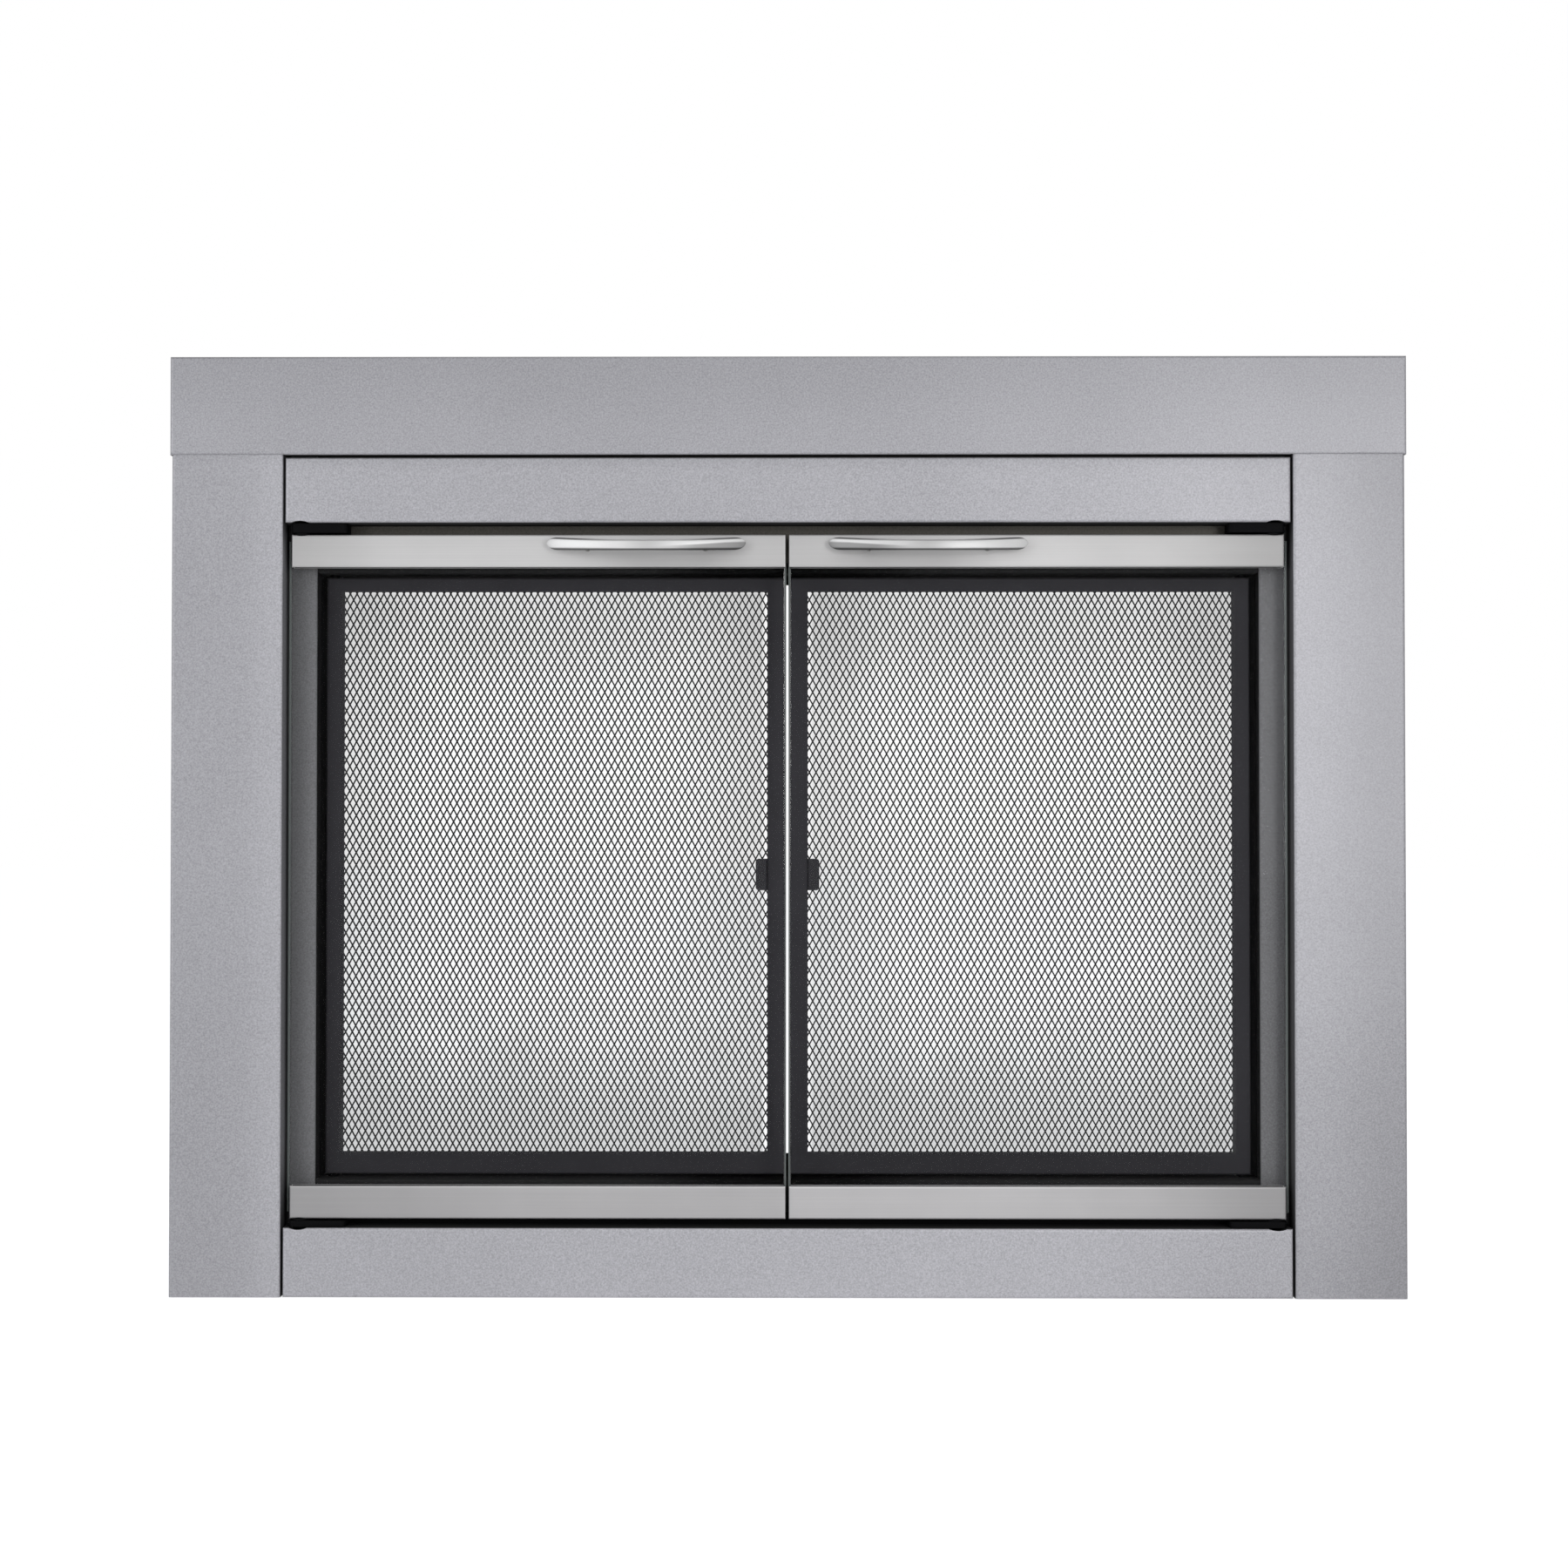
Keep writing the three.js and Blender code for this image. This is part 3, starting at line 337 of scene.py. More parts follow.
def grained_metal(name, colour, metallic, roughness, bands=(), inner=1.0):
    """Plated sheet with an even grain. Its returns round the opening are darkened to the share
    inner of their colour, as painted shade.
    """
    material, s = new_material(name)
    coordinates = s.node("ShaderNodeTexCoord").outputs
    here, normal = coordinates["Object"], coordinates["Normal"]
    place = s.parts(here)
    fine = s.noise(here, GRAIN_SCALE, detail=3.0, roughness=0.7)
    slow = s.noise(here, DRIFT_SCALE, detail=2.0)
    level = s.math("ADD", s.vary(fine, 1, GRAIN_CONTRAST), s.vary(slow, 0, DRIFT))
    level = s.product(level, *all_bands(s, place, bands))

    way = s.vector("SUBTRACT", OPENING_MIDDLE, here)["Vector"]
    level_way = s.vector("MULTIPLY", way, (1, 0, 1))["Vector"]
    facing = s.vector("DOT_PRODUCT", level_way, normal)["Value"]
    turned = s.math("ABSOLUTE", s.parts(normal)["Y"])
    across = s.math("ABSOLUTE", place["X"])
    # painted shade on the returns that face the opening
    inward = s.product(
        s.spread(facing, *RETURN_TURN, 0.0, 1.0, smooth=True),
        s.spread(turned, *BEND_TURN, 1.0, 0.0, smooth=True),
        s.spread(across, *RETURN_END, 1.0, 0.0),
    )
    lit = s.product(inner, *all_bands(s, place, RETURN_FADES))
    shade = s.math("ADD", s.math("MULTIPLY", inward, s.math("SUBTRACT", lit, 1.0)), 1.0)
    s.finish({
        "Base Color": s.tint(colour, s.product(level, shade)),
        "Metallic": s.spread(inward, 0.0, 1.0, metallic, 0.0),
        "Roughness": s.math("MAXIMUM", s.vary(fine, roughness, 0.05),
                            s.product(inward, RETURN_ROUGHNESS)),
        "Specular IOR Level": 0.3,
        "Normal": s.bump(fine, GRAIN_DEPTH),
    })
    return material


def nickel_sheet(name, share, bands=(), inner=0.16):
    """The plated sheet of the surround, at a share of its plain colour; the shares differ from
    piece to piece as painted light, and inner is the painted shade of its returns.
    """
    colour = [share * channel for channel in NICKEL]
    return grained_metal(name, colour, NICKEL_METALLIC, NICKEL_ROUGHNESS, bands, inner)


def shade_under_handle(s, place):
    """A factor that darkens the clamp softly below the handle."""
    reach_x, reach_z = HANDLE_SHADE_REACH
    from_middle = s.math("SUBTRACT", s.math("ABSOLUTE", place["X"]), HANDLE_SHADE_X)
    across = s.math("DIVIDE", from_middle, reach_x)
    down = s.math("DIVIDE", s.math("SUBTRACT", place["Z"], HANDLE_SHADE_Z), reach_z)
    apart = s.math("SQRT", s.math("ADD", s.math("POWER", across, 2.0), s.math("POWER", down, 2.0)))
    return s.spread(apart, *HANDLE_SHADE_FADE, HANDLE_SHADE, 1.0, smooth=True)


def brush_lines(s, here, cells):
    stretched = s.vector("MULTIPLY", here, cells)["Vector"]
    return s.noise(stretched, 1.0, detail=4.0, roughness=0.7)


def brushed_clamp(name, colour, bands, under_handle=False):
    """Metal with fine brush lines along X; its bands paint light and shade into the colour."""
    material, s = new_material(name)
    here = s.here()
    place = s.parts(here)
    lines = brush_lines(s, here, CLAMP_BRUSH)
    cloud = s.noise(here, 25.0, detail=3.0)
    grain = s.noise(here, 2600.0, detail=1.0)
    level = s.math("ADD", s.vary(lines, 1, CLAMP_CONTRAST), s.vary(cloud, 0, CLAMP_CLOUD))
    level = s.product(level, *all_bands(s, place, bands))
    if under_handle:
        level = s.product(level, shade_under_handle(s, place))
    s.finish({
        "Base Color": s.tint(colour, level),
        "Metallic": CLAMP_METALLIC,
        "Roughness": s.vary(lines, CLAMP_ROUGHNESS, 0.06),
        "Normal": s.bump(s.math("ADD", lines, s.product(grain, 0.5)), CLAMP_DEPTH),
    })
    return material


def satin_bow():
    """Satin strap with painted light: bright along its outer half, painted grey shade under a
    painted highlight along its inner half, and dark rims painted as reflections."""
    material, s = new_material("handle_nickel")
    here = s.here()
    place = s.parts(here)
    lines = brush_lines(s, here, BOW_BRUSH)

    # where on the strap: along it, and up it from its drooping middle line
    from_middle = s.math("SUBTRACT", s.math("ABSOLUTE", place["X"]), HANDLE_X)
    along = s.math("DIVIDE", from_middle, HANDLE_LENGTH / 2)
    out = s.math("POWER", s.math("ABSOLUTE", along), 2.0)
    centre = s.math("ADD", s.product(out, STRAP_DROOP), STRAP_END_Z - STRAP_DROOP)
    growth = (STRAP_END_HEIGHT - STRAP_MIDDLE_HEIGHT) / 2
    half = s.math("ADD", s.product(out, growth), STRAP_MIDDLE_HEIGHT / 2)
    rise = s.math("DIVIDE", s.math("SUBTRACT", place["Z"], centre), half)

    # painted light and shade on the strap
    inner_half = s.spread(along, *BOW_GREY_START, 0.0, 1.0, smooth=True)
    line = s.spread(along, *BOW_LINE_STRETCH, *BOW_LINE_RISE)
    above_line = s.math("SUBTRACT", rise, line)
    below = s.spread(above_line, -BOW_LINE_BLUR, BOW_LINE_BLUR, 1.0, 0.0, smooth=True)
    from_waist = s.math("ABSOLUTE", s.math("SUBTRACT", along, BOW_WAIST))
    upper_shade = s.spread(out, 0.0, BOW_RIM_PALE_END, BOW_RIM_SHADE_MIDDLE, BOW_RIM_SHADE)
    level = s.product(
        s.math("SUBTRACT", 1.0, s.product(inner_half, below, BOW_GREY)),
        s.spread(from_waist, 0.0, BOW_WAIST_REACH, BOW_WAIST_SHADE, 1.0, smooth=True),
        s.spread(place["X"], *BOW_SIDE_X, *BOW_SIDE_LEVELS),
        s.spread(rise, *BOW_UPPER_RIM, 1.0, upper_shade, smooth=True),
        s.spread(rise, *BOW_LOWER_RIM, 1.0, BOW_RIM_SHADE, smooth=True),
        s.vary(lines, 1, BOW_BRUSH_CONTRAST),
    )
    s.finish({
        "Base Color": s.tint(BOW_COLOUR, level),
        "Metallic": BOW_METALLIC,
        "Roughness": s.vary(lines, BOW_ROUGHNESS, 0.05),
        "Specular IOR Level": 0.3,
        "Normal": s.bump(lines, BOW_DEPTH),
    })
    return material


def powder_coat(name, colour, roughness, gloss, depth=0.000003, bands=()):
    """Matt coat with a fine orange peel."""
    material, s = new_material(name)
    here = s.here()
    peel = s.noise(here, 1100.0, detail=2.0)
    speck = s.noise(here, 3500.0, detail=1.0)
    cloud = s.noise(here, 18.0, detail=3.0)
    level = s.math("ADD", s.vary(speck, 1, 0.06), s.vary(cloud, 0, 0.06))
    s.finish({
        "Base Color": s.tint(colour, s.product(level, *all_bands(s, s.parts(here), bands))),
        "Metallic": 0.0,
        "Roughness": s.vary(peel, roughness, 0.08),
        "Specular IOR Level": gloss,
        "Normal": s.bump(peel, depth),
    })
    return material


def zinc_plate():
    material, s = new_material("zinc_plate")
    here = s.here()
    spangle = s.node("ShaderNodeTexVoronoi", {"Vector": here, "Scale": 260.0}).outputs["Distance"]
    fine = s.noise(here, 1500.0, detail=3.0)
    s.finish({
        "Base Color": s.tint((0.42, 0.42, 0.40), s.spread(spangle, 0.0, 0.8, 0.85, 1.15)),
        "Metallic": 0.9,
        "Roughness": s.spread(fine, *NOISE_RANGE, 0.28, 0.45),
        "Normal": s.bump(fine, 0.00002),
    })
    return material


def black_rubber():
    material, s = new_material("black_rubber")
    fine = s.noise(s.here(), 900.0, detail=4.0)
    s.finish({
        "Base Color": s.tint((0.012, 0.012, 0.012), s.vary(fine, 1, 0.2)),
        "Roughness": s.spread(fine, *NOISE_RANGE, 0.75, 0.9),
        "Normal": s.bump(fine, 0.00005),
    })
    return material


def glass_painted_shade(s, place, cloud, low, high):
    """The alpha of painted shade that is densest along the rim of the screen between low and high.
    """
    clear, over = 1.0, 1.0
    side_painted_shade = s.spread(place["Z"], low.z, low.z + GLASS_SHADE_LIFT,
                         GLASS_SHADE_THIN * GLASS_SHADE_SIDE, GLASS_SHADE_SIDE, smooth=True)
    for axis, rim, inwards, frame_width, reach, strength in (
        ("X", low.x, 1, STILE, GLASS_SHADE_REACH_SIDE, side_painted_shade),
        ("X", high.x, -1, STILE, GLASS_SHADE_REACH_SIDE, side_painted_shade),
        ("Z", low.z, 1, BOTTOM_RAIL, GLASS_SHADE_REACH_BOTTOM, GLASS_SHADE_BOTTOM),
        ("Z", high.z, -1, TOP_RAIL, GLASS_SHADE_REACH_TOP, GLASS_SHADE_TOP),
    ):
        depth = s.product(s.math("SUBTRACT", place[axis], rim), inwards)
        begun = s.spread(depth, frame_width, frame_width + GLASS_SHADE_START, 0.0, 1.0, smooth=True)
        over = s.product(over, begun)
        inside = s.math("DIVIDE", s.math("SUBTRACT", depth, frame_width), cloud)
        least = s.math("SUBTRACT", 1.0, strength)
        clear = s.product(clear, s.spread(inside, 0.0, reach, least, 1.0, smooth=True))
    return s.product(s.math("SUBTRACT", 1.0, s.math("POWER", clear, 0.5)), over)


def door_glass(name, low, high):
    """Clear pane with a ground edge, and painted shade towards the rim of the screen behind it."""
    material, s = new_material(name)
    coordinates = s.node("ShaderNodeTexCoord").outputs
    here = coordinates["Object"]
    place = s.parts(here)
    cloud = s.spread(s.noise(here, GLASS_SHADE_CLOUD_SCALE, detail=3.0), *NOISE_RANGE, *GLASS_SHADE_CLOUD)
    # painted shade that darkens the screen behind the pane towards its rim
    painted_shade = glass_painted_shade(s, place, cloud, low, high)

    facing = s.node("ShaderNodeLayerWeight", {"Blend": 0.5}).outputs["Facing"]
    grazing = s.product(s.math("POWER", facing, GRAZING_POWER), GRAZING_ALPHA)
    pane = s.math("ADD", s.math("ADD", painted_shade, CLEAR_ALPHA), grazing, clamp=True)

    across = s.math("ABSOLUTE", place["X"])
    turned = s.math("ABSOLUTE", s.parts(coordinates["Normal"])["Y"])
    ground = s.spread(turned, *GROUND_TURN, 1.0, 0.0, smooth=True)
    # a light band along the outer edge, partly ground glass and partly a painted highlight, with a
    # line of painted shadow beside it
    rim_x = door_x - GLASS_RIM
    outer_rim = s.spread(across, rim_x, rim_x + GLASS_RIM_BLUR, 0.0, 1.0)
    edge = s.math("MAXIMUM", ground, outer_rim)
    rim_shadow = s.spread(across, rim_x - RIM_SHADOW_FROM, rim_x - RIM_SHADOW_TO, 0.0, RIM_SHADOW)

    # painted shade where the panes meet, deepest towards the top and the bottom
    from_middle = s.math("ABSOLUTE", s.math("SUBTRACT", place["Z"], (low.z + high.z) / 2))
    meeting_alpha = s.spread(from_middle, 0.0, (high.z - low.z) / 2, *MEETING_ALPHAS, smooth=True)
    meeting_end = meeting_x + MEETING_RIM
    meeting_edge = s.spread(across, meeting_end - MEETING_BLUR, meeting_end, meeting_alpha, 0.0)
    pane = s.math("MAXIMUM", pane, s.math("MAXIMUM", rim_shadow, meeting_edge))
    s.finish({
        "Base Color": s.node("ShaderNodeMix", {"Factor": edge, "A": GLASS_DARK, "B": GLASS_GROUND},
                             data_type="RGBA").outputs["Result"],
        "Roughness": s.spread(edge, 0.0, 1.0, *GLASS_ROUGHNESS),
        "IOR": GLASS_IOR,
        "Alpha": s.math("MAXIMUM", pane, s.product(edge, GROUND_ALPHA)),
    })
    return material


# ---------------------------------------------------------------- finishes
# Each band is an axis, an edge, the reach before it, and the shade at it. The bands paint light
# and shade into the colours: gradients, painted highlights along edges and painted shade in gaps.

lintel_x, _, lintel_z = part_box("lintel")[1]
rail_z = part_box("top_rail")[1].z
column_inner_x, column_outer_x = (corner.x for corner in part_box("right_column"))
jamb_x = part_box("right_jamb")[0].x
meeting_x, door_x = (corner.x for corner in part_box("right_door_glass"))
top_clamp_low, top_clamp_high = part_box("right_door_top_clamp")
bottom_clamp_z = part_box("right_door_bottom_clamp")[1].z

CENTRE_GAP_SHADE = ("X", 0.0013, -0.0004, 0.06)    # painted shade at the end of a clamp beside the other door

black_steel = powder_coat("black_steel", (0.0035, 0.0035, 0.004), 0.6, gloss=0.05)
screen_black = powder_coat("screen_black", (0.044, 0.0425, 0.048), 0.6, gloss=0.1, depth=0.0000008)
net_black = powder_coat("net_black", (0.011, 0.011, 0.0125), 0.5, gloss=0.15)
handle_nickel = satin_bow()

FINISH_BY_ENDING = [
    # The jambs behind the glass: nickel painted dark as shade, lighter towards the inner edge and
    # darker on the right, with painted shade along the outer edge next to the column.
    (("_jamb",), grained_metal("satin_nickel_in_painted_shade", (0.216, 0.216, 0.223), 0.1, 0.6, [
        ("RIGHT", 0.3, 0.3, 0.92),
        ("X", jamb_x + 0.021, 0.020, 0.88),
        ("X", jamb_x + 0.0225, 0.002, 0.08),
    ])),
    # The head flange in the gap above the doors is painted dark brownish as shade.
    (("head_flange",), grained_metal("steel_in_painted_shade", (0.085, 0.079, 0.068), 0.3, 0.5)),
    # The sill flange in the gap below the doors is painted black as shade.
    (("sill_flange",), black_steel),
    # Top clamps: painted lighter than the bottom ones as light from above, darker towards the
    # ends, the middle and the right, with painted highlights along the outer end and the lower
    # edge and a painted shadow under the handle.
    (("door_top_clamp",), brushed_clamp("clamp_nickel_top", (0.605, 0.596, 0.591), [
        ("X", door_x, 0.10, 0.76),
        ("X", 0.0, -0.10, 0.83),
        ("RIGHT", door_x, 0.27, 0.77),
        ("X", top_clamp_high.x, 0.0014, 1.50),
        ("Z", top_clamp_low.z, -0.0016, 1.10),
        CENTRE_GAP_SHADE,
    ], under_handle=True)),
    # Bottom clamps: painted darker than the top ones, darker towards the outer ends and most on
    # the right, lighter on the right door, with painted highlights along the outer end and the
    # upper edge.
    (("door_bottom_clamp",), brushed_clamp("clamp_nickel_bottom", (0.46, 0.45, 0.453), [
        ("X", door_x, 0.25, 0.78),
        ("RIGHT", 0.01, 0.02, 1.12),
        ("RIGHT", door_x, 0.12, 0.78),
        ("X", top_clamp_high.x, 0.0014, 1.35),
        ("Z", bottom_clamp_z, 0.0018, 1.45),
        CENTRE_GAP_SHADE,
    ])),
    (("_screen_frame", "_pull_tab"), screen_black),
    # The black rear parts are painted darker towards the middle, as shade where they show between
    # the screens.
    (("_rear_post", "rear_head", "rear_sill"), powder_coat(
        "rear_black", (0.028, 0.028, 0.0285), 0.6, gloss=0.05, bands=[("X", 0.04, -0.10, 0.15)])),
    (("_hinge_bracket", "_hinge_screw", "_magnet_catch", "_top_pin", "_bottom_pin"), black_steel),
    (("_gasket",), black_rubber()),
    (("_screw", "_bolt", "_lintel_clamp", "_floor_bracket"), zinc_plate()),
    # Top rail: painted darker towards its top and at its right end, with a dark line of painted
    # shade along the gap under the lintel.
    (("top_rail",), nickel_sheet("satin_nickel_top_rail", 1.02, [
        ("Z", rail_z, 0.014, 0.92),
        ("Z", rail_z, 0.0016, 0.30),
        ("RIGHT", 0.41, 0.08, 0.94),
    ])),
    # Bottom rail: painted lighter than the other sheet as light, and darker towards both ends,
    # most at the right one.
    (("bottom_rail",), nickel_sheet("satin_nickel_bottom_rail", 1.14, [
        ("X", 0.40, 0.30, 0.90),
        ("RIGHT", 0.41, 0.10, 0.94),
    ])),
    # Left column: painted darker towards its outer edge, with a painted highlight along its inner
    # edge and lighter painted shade on its return than the right column.
    (("left_column",), nickel_sheet("satin_nickel_left_column", 0.94, [
        ("X", column_outer_x, 0.0885, 0.93),
        ("X", column_inner_x, -0.040, 1.11),
    ], inner=0.45)),
    # Right column: painted darker towards its outer edge and towards the bottom, with deeper
    # painted shade on its return than the left column.
    (("right_column",), nickel_sheet("satin_nickel_right_column", 0.97, [
        ("X", column_outer_x, 0.0885, 0.80),
        ("Z", 0.0, -0.35, 0.90),
    ], inner=0.22)),
    # Lintel: a dark line of painted shade along its top edge, and painted darker towards its top
    # and its ends.
    (("lintel",), nickel_sheet("satin_nickel_lintel", 0.95, [
        ("Z", lintel_z, 0.0022, 0.35),
        ("Z", lintel_z, 0.075, 0.91),
        ("X", lintel_x, 0.16, 0.94),
    ])),
]


def finish_for(node_name):
    if node_name.endswith("_glass"):
        screen = node_name.replace("door_glass", "screen_frame")
        return door_glass(f"{node_name}_clear", *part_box(screen))
    for endings, material in FINISH_BY_ENDING:
        if node_name.endswith(endings):
            return material
    return None                  # the net and the handle, which pieces of the scene replace


for node_name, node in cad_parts.items():
    finish = finish_for(node_name)
    if finish:
        node.data.materials.clear()
        node.data.materials.append(finish)


# ---------------------------------------------------------------- building helpers

def new_piece(name, mesh_data, body, material, replaced):
    bm = bmesh.new()
    points = [bm.verts.new(p) for p in mesh_data[0]]
    for face in mesh_data[1]:
        bm.faces.new([points[i] for i in face])
    bmesh.ops.recalc_face_normals(bm, faces=bm.faces)
    mesh = bpy.data.meshes.new(name)
    bm.to_mesh(mesh)
    bm.free()
    piece = bpy.data.objects.new(name, mesh)
    bpy.context.scene.collection.objects.link(piece)
    piece.data.materials.append(material)
    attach(piece, body)
    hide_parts(*replaced)
    return piece


# ---------------------------------------------------------------- expanded metal

def net_mesh(x0, x1, z0, z1, front):
    """Staggered diamonds between the given edges: bonds joined by slanting strands."""
    half_x, half_z = NET_PITCH_X / 2, NET_PITCH_Z / 2
    slant = math.hypot(half_x, half_z)
    bond_x = (NET_STRAND * slant - NET_BOND * half_x) / half_z
    columns = int((x1 - x0) / half_x)
    rows = int((z1 - z0) / half_z)
    start_x = (x0 + x1 - columns * half_x) / 2
    start_z = (z0 + z1 - rows * half_z) / 2
    corners = [            # top, right, bottom, left of a bond: x, z, y
        (0, NET_BOND, 0), (bond_x, 0, NET_TWIST), (0, -NET_BOND, 0), (-bond_x, 0, -NET_TWIST),
    ]
    back = len(corners)          # from a front corner to the one behind it
    points, faces, first = [], [], {}
    for column in range(columns + 1):
        for row in range(column % 2, rows + 1, 2):
            first[column, row] = len(points)
            x, z = start_x + column * half_x, start_z + row * half_z
            for depth in (0, NET_THICKNESS):
                for dx, dz, dy in corners:
                    points.append((x + dx, front + NET_TWIST + dy + depth, z + dz))
    top, right, bottom, left = range(4)
    for (column, row), a in first.items():
        faces.append([a + top, a + left, a + bottom, a + right])
        faces.append([a + back + top, a + back + right, a + back + bottom, a + back + left])
        # (upper neighbour, this bond's two corners, the neighbour's two corners)
        ways_up = [
            ((column + 1, row + 1), (top, right), (left, bottom)),
            ((column - 1, row + 1), (left, top), (bottom, right)),
        ]
        for neighbour, (p, q), (r, t) in ways_up:
            if neighbour not in first:
                faces.append([a + p, a + q, a + back + q, a + back + p])
                continue
            b = first[neighbour]
            faces.append([a + p, a + q, b + t, b + r])
            faces.append([a + back + q, a + back + p, b + back + r, b + back + t])
            faces.append([a + p, b + r, b + back + r, a + back + p])
            faces.append([a + q, a + back + q, b + back + t, b + t])
        ways_down = [
            ((column - 1, row - 1), (bottom, left)),
            ((column + 1, row - 1), (right, bottom)),
        ]
        for neighbour, (p, q) in ways_down:
            if neighbour not in first:
                faces.append([a + p, a + q, a + back + q, a + back + p])
    return points, faces


for side in SIDES:
    low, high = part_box(f"{side}_screen_frame")
    net = net_mesh(
        low.x + STILE - NET_TUCK, high.x - STILE + NET_TUCK,
        low.z + BOTTOM_RAIL - NET_TUCK, high.z - TOP_RAIL + NET_TUCK,
        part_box(f"{side}_screen_mesh")[0].y,
    )
    new_piece(
        f"{side}_screen_net", net,
        f"{side}_screen", net_black, [f"{side}_screen_mesh"],
    )


# ---------------------------------------------------------------- bow handles

def strap_centre(x):
    bow = 1 - (x / (HANDLE_LENGTH / 2)) ** 2
    out = STRAP_END_OUT + (STRAP_MIDDLE_OUT - STRAP_END_OUT) * bow
    return Vector((x, CLAMP_FRONT_Y - out, STRAP_END_Z - STRAP_DROOP * bow))


def strap_mesh():
    """A bowed strap with rounded tips, from rings of points between two end points."""
    half = HANDLE_LENGTH / 2
    points = [strap_centre(-half)]
    for i in range(1, STRAP_STATIONS):
        x = -half * math.cos(math.pi * i / STRAP_STATIONS)
        slope = 2 * (STRAP_MIDDLE_OUT - STRAP_END_OUT) * x / half ** 2
        normal = Vector((-slope, 1, 0)).normalized()
        beyond = max(0, (abs(x) - (half - STRAP_TIP)) / STRAP_TIP)
        taper = math.sqrt(1 - beyond ** 2)
        swell = (abs(x) / half) ** STRAP_SWELL
        height = (STRAP_MIDDLE_HEIGHT + (STRAP_END_HEIGHT - STRAP_MIDDLE_HEIGHT) * swell) * taper
        thickness = STRAP_THICKNESS * (STRAP_TIP_THICKNESS + (1 - STRAP_TIP_THICKNESS) * taper)
        for side in range(ROUND_SIDES):
            angle = 2 * math.pi * side / ROUND_SIDES
            point = strap_centre(x) + normal * math.cos(angle) * thickness / 2
            rise = math.sin(angle)
            point.z += math.copysign(abs(rise) ** STRAP_SQUARENESS, rise) * height / 2
            points.append(point)
    points.append(strap_centre(half))

    def at(ring, side):
        return 1 + ring * ROUND_SIDES + side % ROUND_SIDES

    last_ring, last_point = STRAP_STATIONS - 2, len(points) - 1
    faces = []
    for side in range(ROUND_SIDES):
        faces.append([0, at(0, side + 1), at(0, side)])
        for ring in range(last_ring):
            faces.append([at(ring, side), at(ring, side + 1),
                          at(ring + 1, side + 1), at(ring + 1, side)])
        faces.append([last_point, at(last_ring, side), at(last_ring, side + 1)])
    return points, faces


def turned_mesh(profile, x, z):
    """A profile of (radius, y) pairs turned about an axis along Y."""
    points, faces = [], []
    for radius, y in profile:
        for side in range(ROUND_SIDES):
            angle = 2 * math.pi * side / ROUND_SIDES
            points.append((x + radius * math.cos(angle), y, z + radius * math.sin(angle)))
    for ring in range(len(profile) - 1):
        for side in range(ROUND_SIDES):
            a, b = ring * ROUND_SIDES + side, ring * ROUND_SIDES + (side + 1) % ROUND_SIDES
            faces.append([a, b, b + ROUND_SIDES, a + ROUND_SIDES])
    faces.append(list(range(ROUND_SIDES))[::-1])
    faces.append([(len(profile) - 1) * ROUND_SIDES + side for side in range(ROUND_SIDES)])
    return points, faces


def joined(*parts):
    points, faces = [], []
    for part_points, part_faces in parts:
        base = len(points)
        points += part_points
        faces += [[base + i for i in face] for face in part_faces]
    return points, faces


def moved(part, dx, mirror):
    return [(mirror * x + dx, y, z) for x, y, z in part[0]], part[1]


def handle_mesh():
    """The strap on its two posts, about x = 0."""
    back = CLAMP_FRONT_Y - FOOT_GAP
    front = back - FOOT_HEIGHT
    hollow = POST_FILLET * POST_FILLET_MIDDLE
    posts = []
    for x in (-HANDLE_PITCH / 2, HANDLE_PITCH / 2):
        end = strap_centre(x)
        posts.append(turned_mesh([
            (FOOT_RADIUS - FOOT_BEVEL_BACK[0], back),
            (FOOT_RADIUS, back - FOOT_BEVEL_BACK[1]),
            (FOOT_RADIUS, front + FOOT_BEVEL_FRONT[1]),
            (FOOT_RADIUS - FOOT_BEVEL_FRONT[0], front),
            (POST_RADIUS + hollow, front - hollow),
            (POST_RADIUS, front - POST_FILLET),
            (POST_RADIUS, end.y),
        ], x, end.z + POST_RISE))
    return joined(strap_mesh(), *posts)


for side, sign in SIDES.items():
    handle = new_piece(
        f"{side}_door_bow_handle", moved(handle_mesh(), sign * HANDLE_X, sign),
        f"{side}_door", handle_nickel, [f"{side}_door_handle"],
    )
    handle.data.shade_smooth()
    handle.data.set_sharp_from_angle(angle=HANDLE_SMOOTH_ANGLE)


# ---------------------------------------------------------------- floor, world, lamps

def seen_directly(s):
    """1 for rays from the camera, mirrored rays and rays through glass, and 0 for lighting."""
    rays = s.node("ShaderNodeLightPath").outputs
    direct = s.math("ADD", rays["Is Camera Ray"], rays["Is Glossy Ray"])
    return s.math("ADD", direct, rays["Is Transmission Ray"], clamp=True)


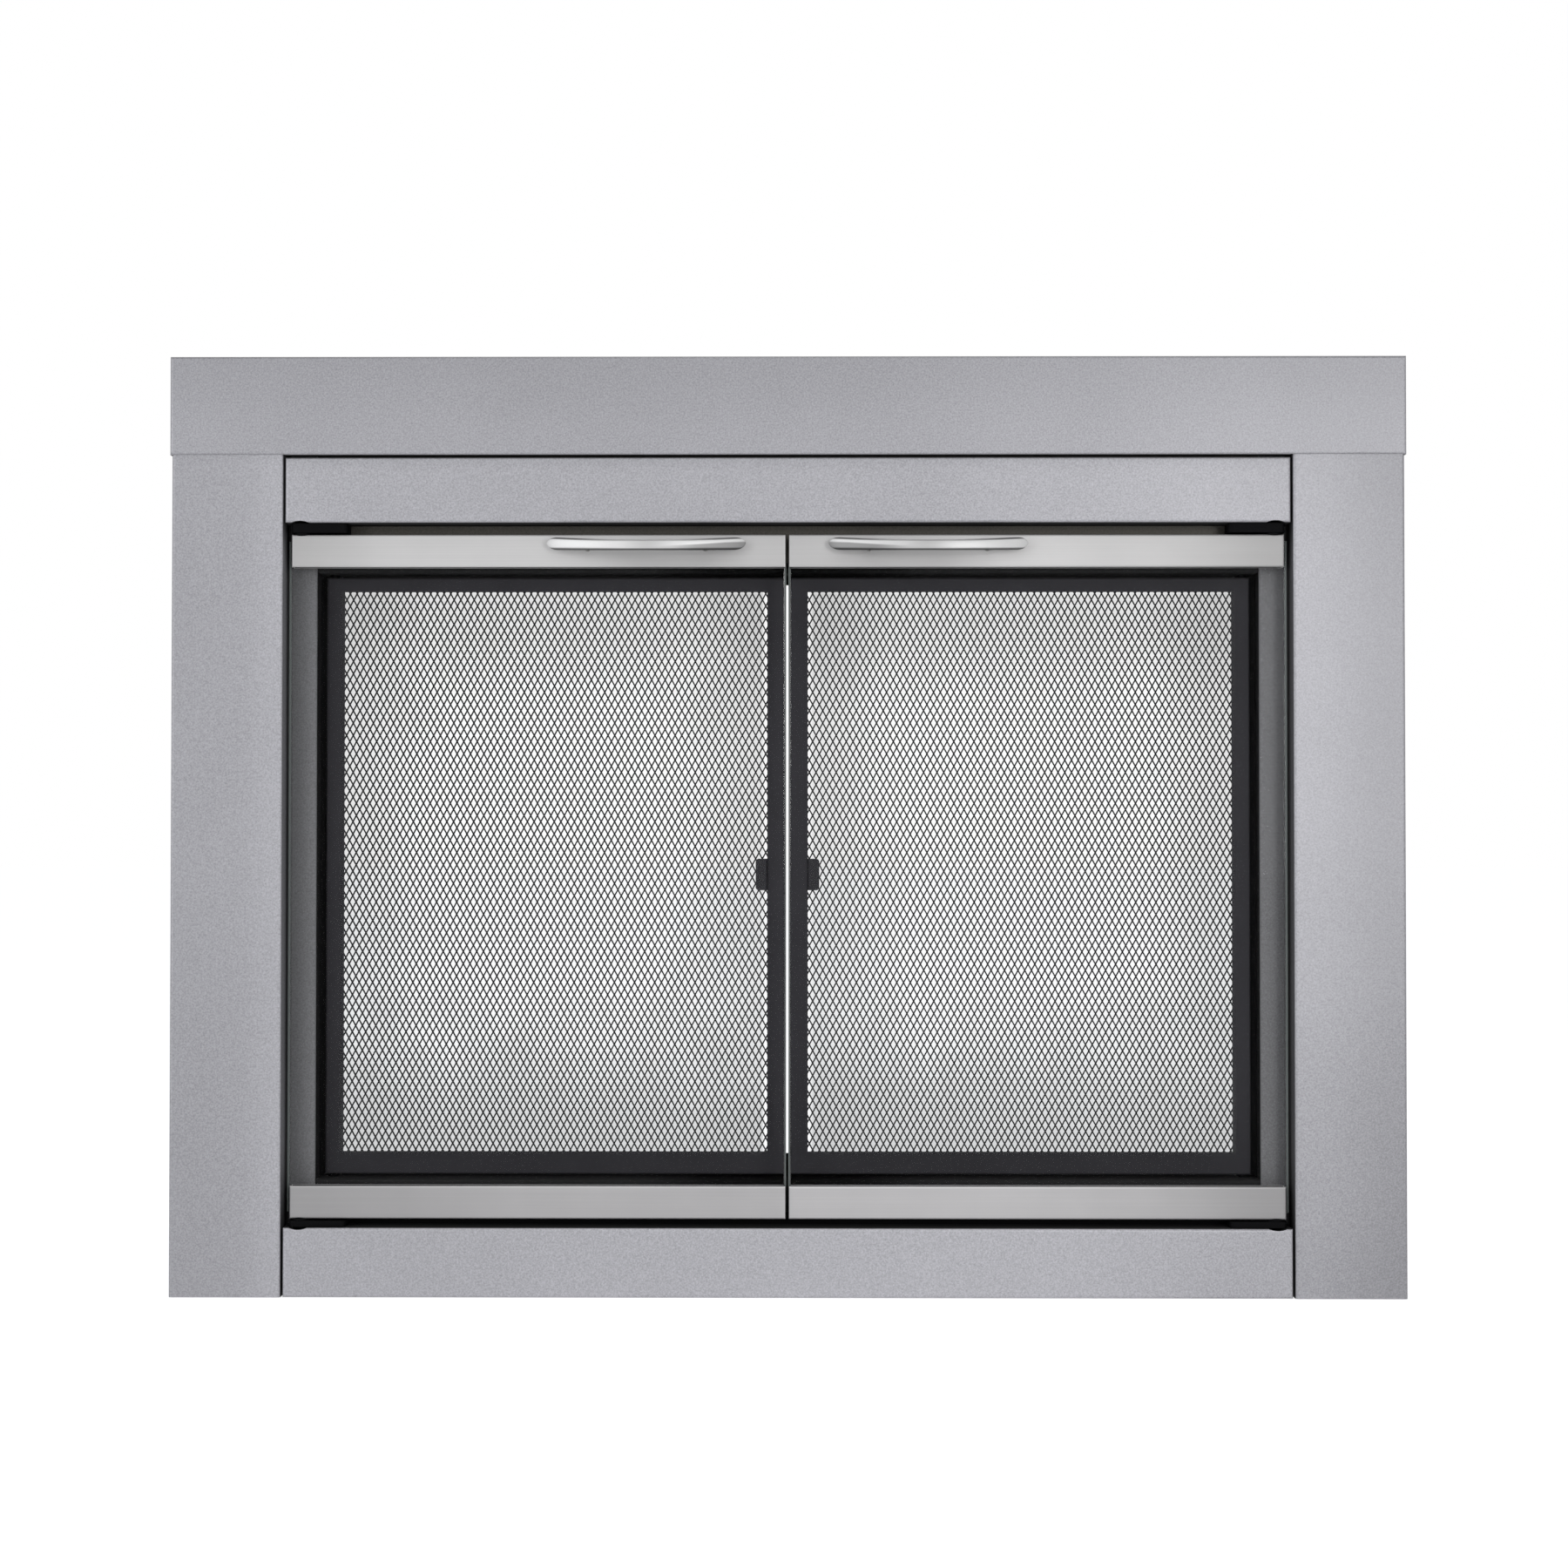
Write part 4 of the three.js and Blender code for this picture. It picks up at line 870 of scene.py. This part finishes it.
def add_floor():
    material, s = new_material("studio_floor")
    paper = s.noise(s.here(), 60.0, detail=3.0)
    colour = s.tint(FLOOR_COLOUR, s.vary(paper, 1, 0.01))
    diffuse = s.node("ShaderNodeBsdfDiffuse", {"Color": colour})
    glow = s.node("ShaderNodeEmission", {
        "Color": WHITE, "Strength": s.product(seen_directly(s), FLOOR_GLOW),
    })
    both = s.node("ShaderNodeAddShader", {0: diffuse, 1: glow})
    s.node("ShaderNodeOutputMaterial", {"Surface": both})
    half = FLOOR_HALF
    mesh = bpy.data.meshes.new("studio_floor")
    corners = [(-half, -half, 0), (half, -half, 0), (half, half, 0), (-half, half, 0)]
    mesh.from_pydata(corners, [], [(0, 1, 2, 3)])
    floor = bpy.data.objects.new("studio_floor", mesh)
    floor.location.z = FLOOR_Z
    bpy.context.scene.collection.objects.link(floor)
    floor.data.materials.append(material)
    floor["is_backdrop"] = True


def add_world():
    world = bpy.data.worlds.new("studio")
    bpy.context.scene.world = world
    s = Shader(world)
    shown = s.node("ShaderNodeBackground", {"Color": WHITE, "Strength": 1.0})
    light = s.node("ShaderNodeBackground", {"Color": SKY_COLOUR, "Strength": SKY_STRENGTH})
    mixed = s.node("ShaderNodeMixShader", {0: seen_directly(s), 1: light, 2: shown})
    s.node("ShaderNodeOutputWorld", {"Surface": mixed})


def add_lamp(name, place, aim, size, power, colour=(1, 1, 1)):
    lamp = bpy.data.lights.new(name, "AREA")
    lamp.shape = "RECTANGLE"
    lamp.size, lamp.size_y = size
    lamp.energy = power
    lamp.color = colour
    item = bpy.data.objects.new(name, lamp)
    item.location = place
    item.rotation_euler = (Vector(aim) - Vector(place)).to_track_quat("-Z", "Y").to_euler()
    bpy.context.scene.collection.objects.link(item)


def add_camera():
    data = bpy.data.cameras.new("camera")
    data.sensor_width = SENSOR
    data.sensor_fit = "HORIZONTAL"
    data.lens = FOCAL_PX / IMAGE_SIZE * SENSOR
    data.clip_start, data.clip_end = CAMERA_CLIP
    camera = bpy.data.objects.new("camera", data)
    camera.location = (CAMERA_X, FACE_Y - CAMERA_DISTANCE, CAMERA_Z)
    aim = Euler((math.pi / 2 + CAMERA_PITCH, 0, CAMERA_YAW)).to_matrix()
    camera.rotation_euler = (aim @ Euler((0, 0, CAMERA_ROLL)).to_matrix()).to_euler()
    bpy.context.scene.collection.objects.link(camera)
    bpy.context.scene.camera = camera


add_floor()
add_world()
add_lamp("key", (1.1, -2.2, 0.66), (0.2, 0, 0.5), (0.7, 0.7), 12)
add_lamp("fill", (-2.4, -2.6, 1.0), (-0.1, 0, 0.4), (1.6, 1.6), 25, (0.97, 0.98, 1.0))
add_lamp("top", (0, -0.4, 2.4), (0, 0, 0.4), (1.6, 0.8), 8)
add_camera()

bpy.context.scene.view_settings.view_transform = "Standard"

low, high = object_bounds()
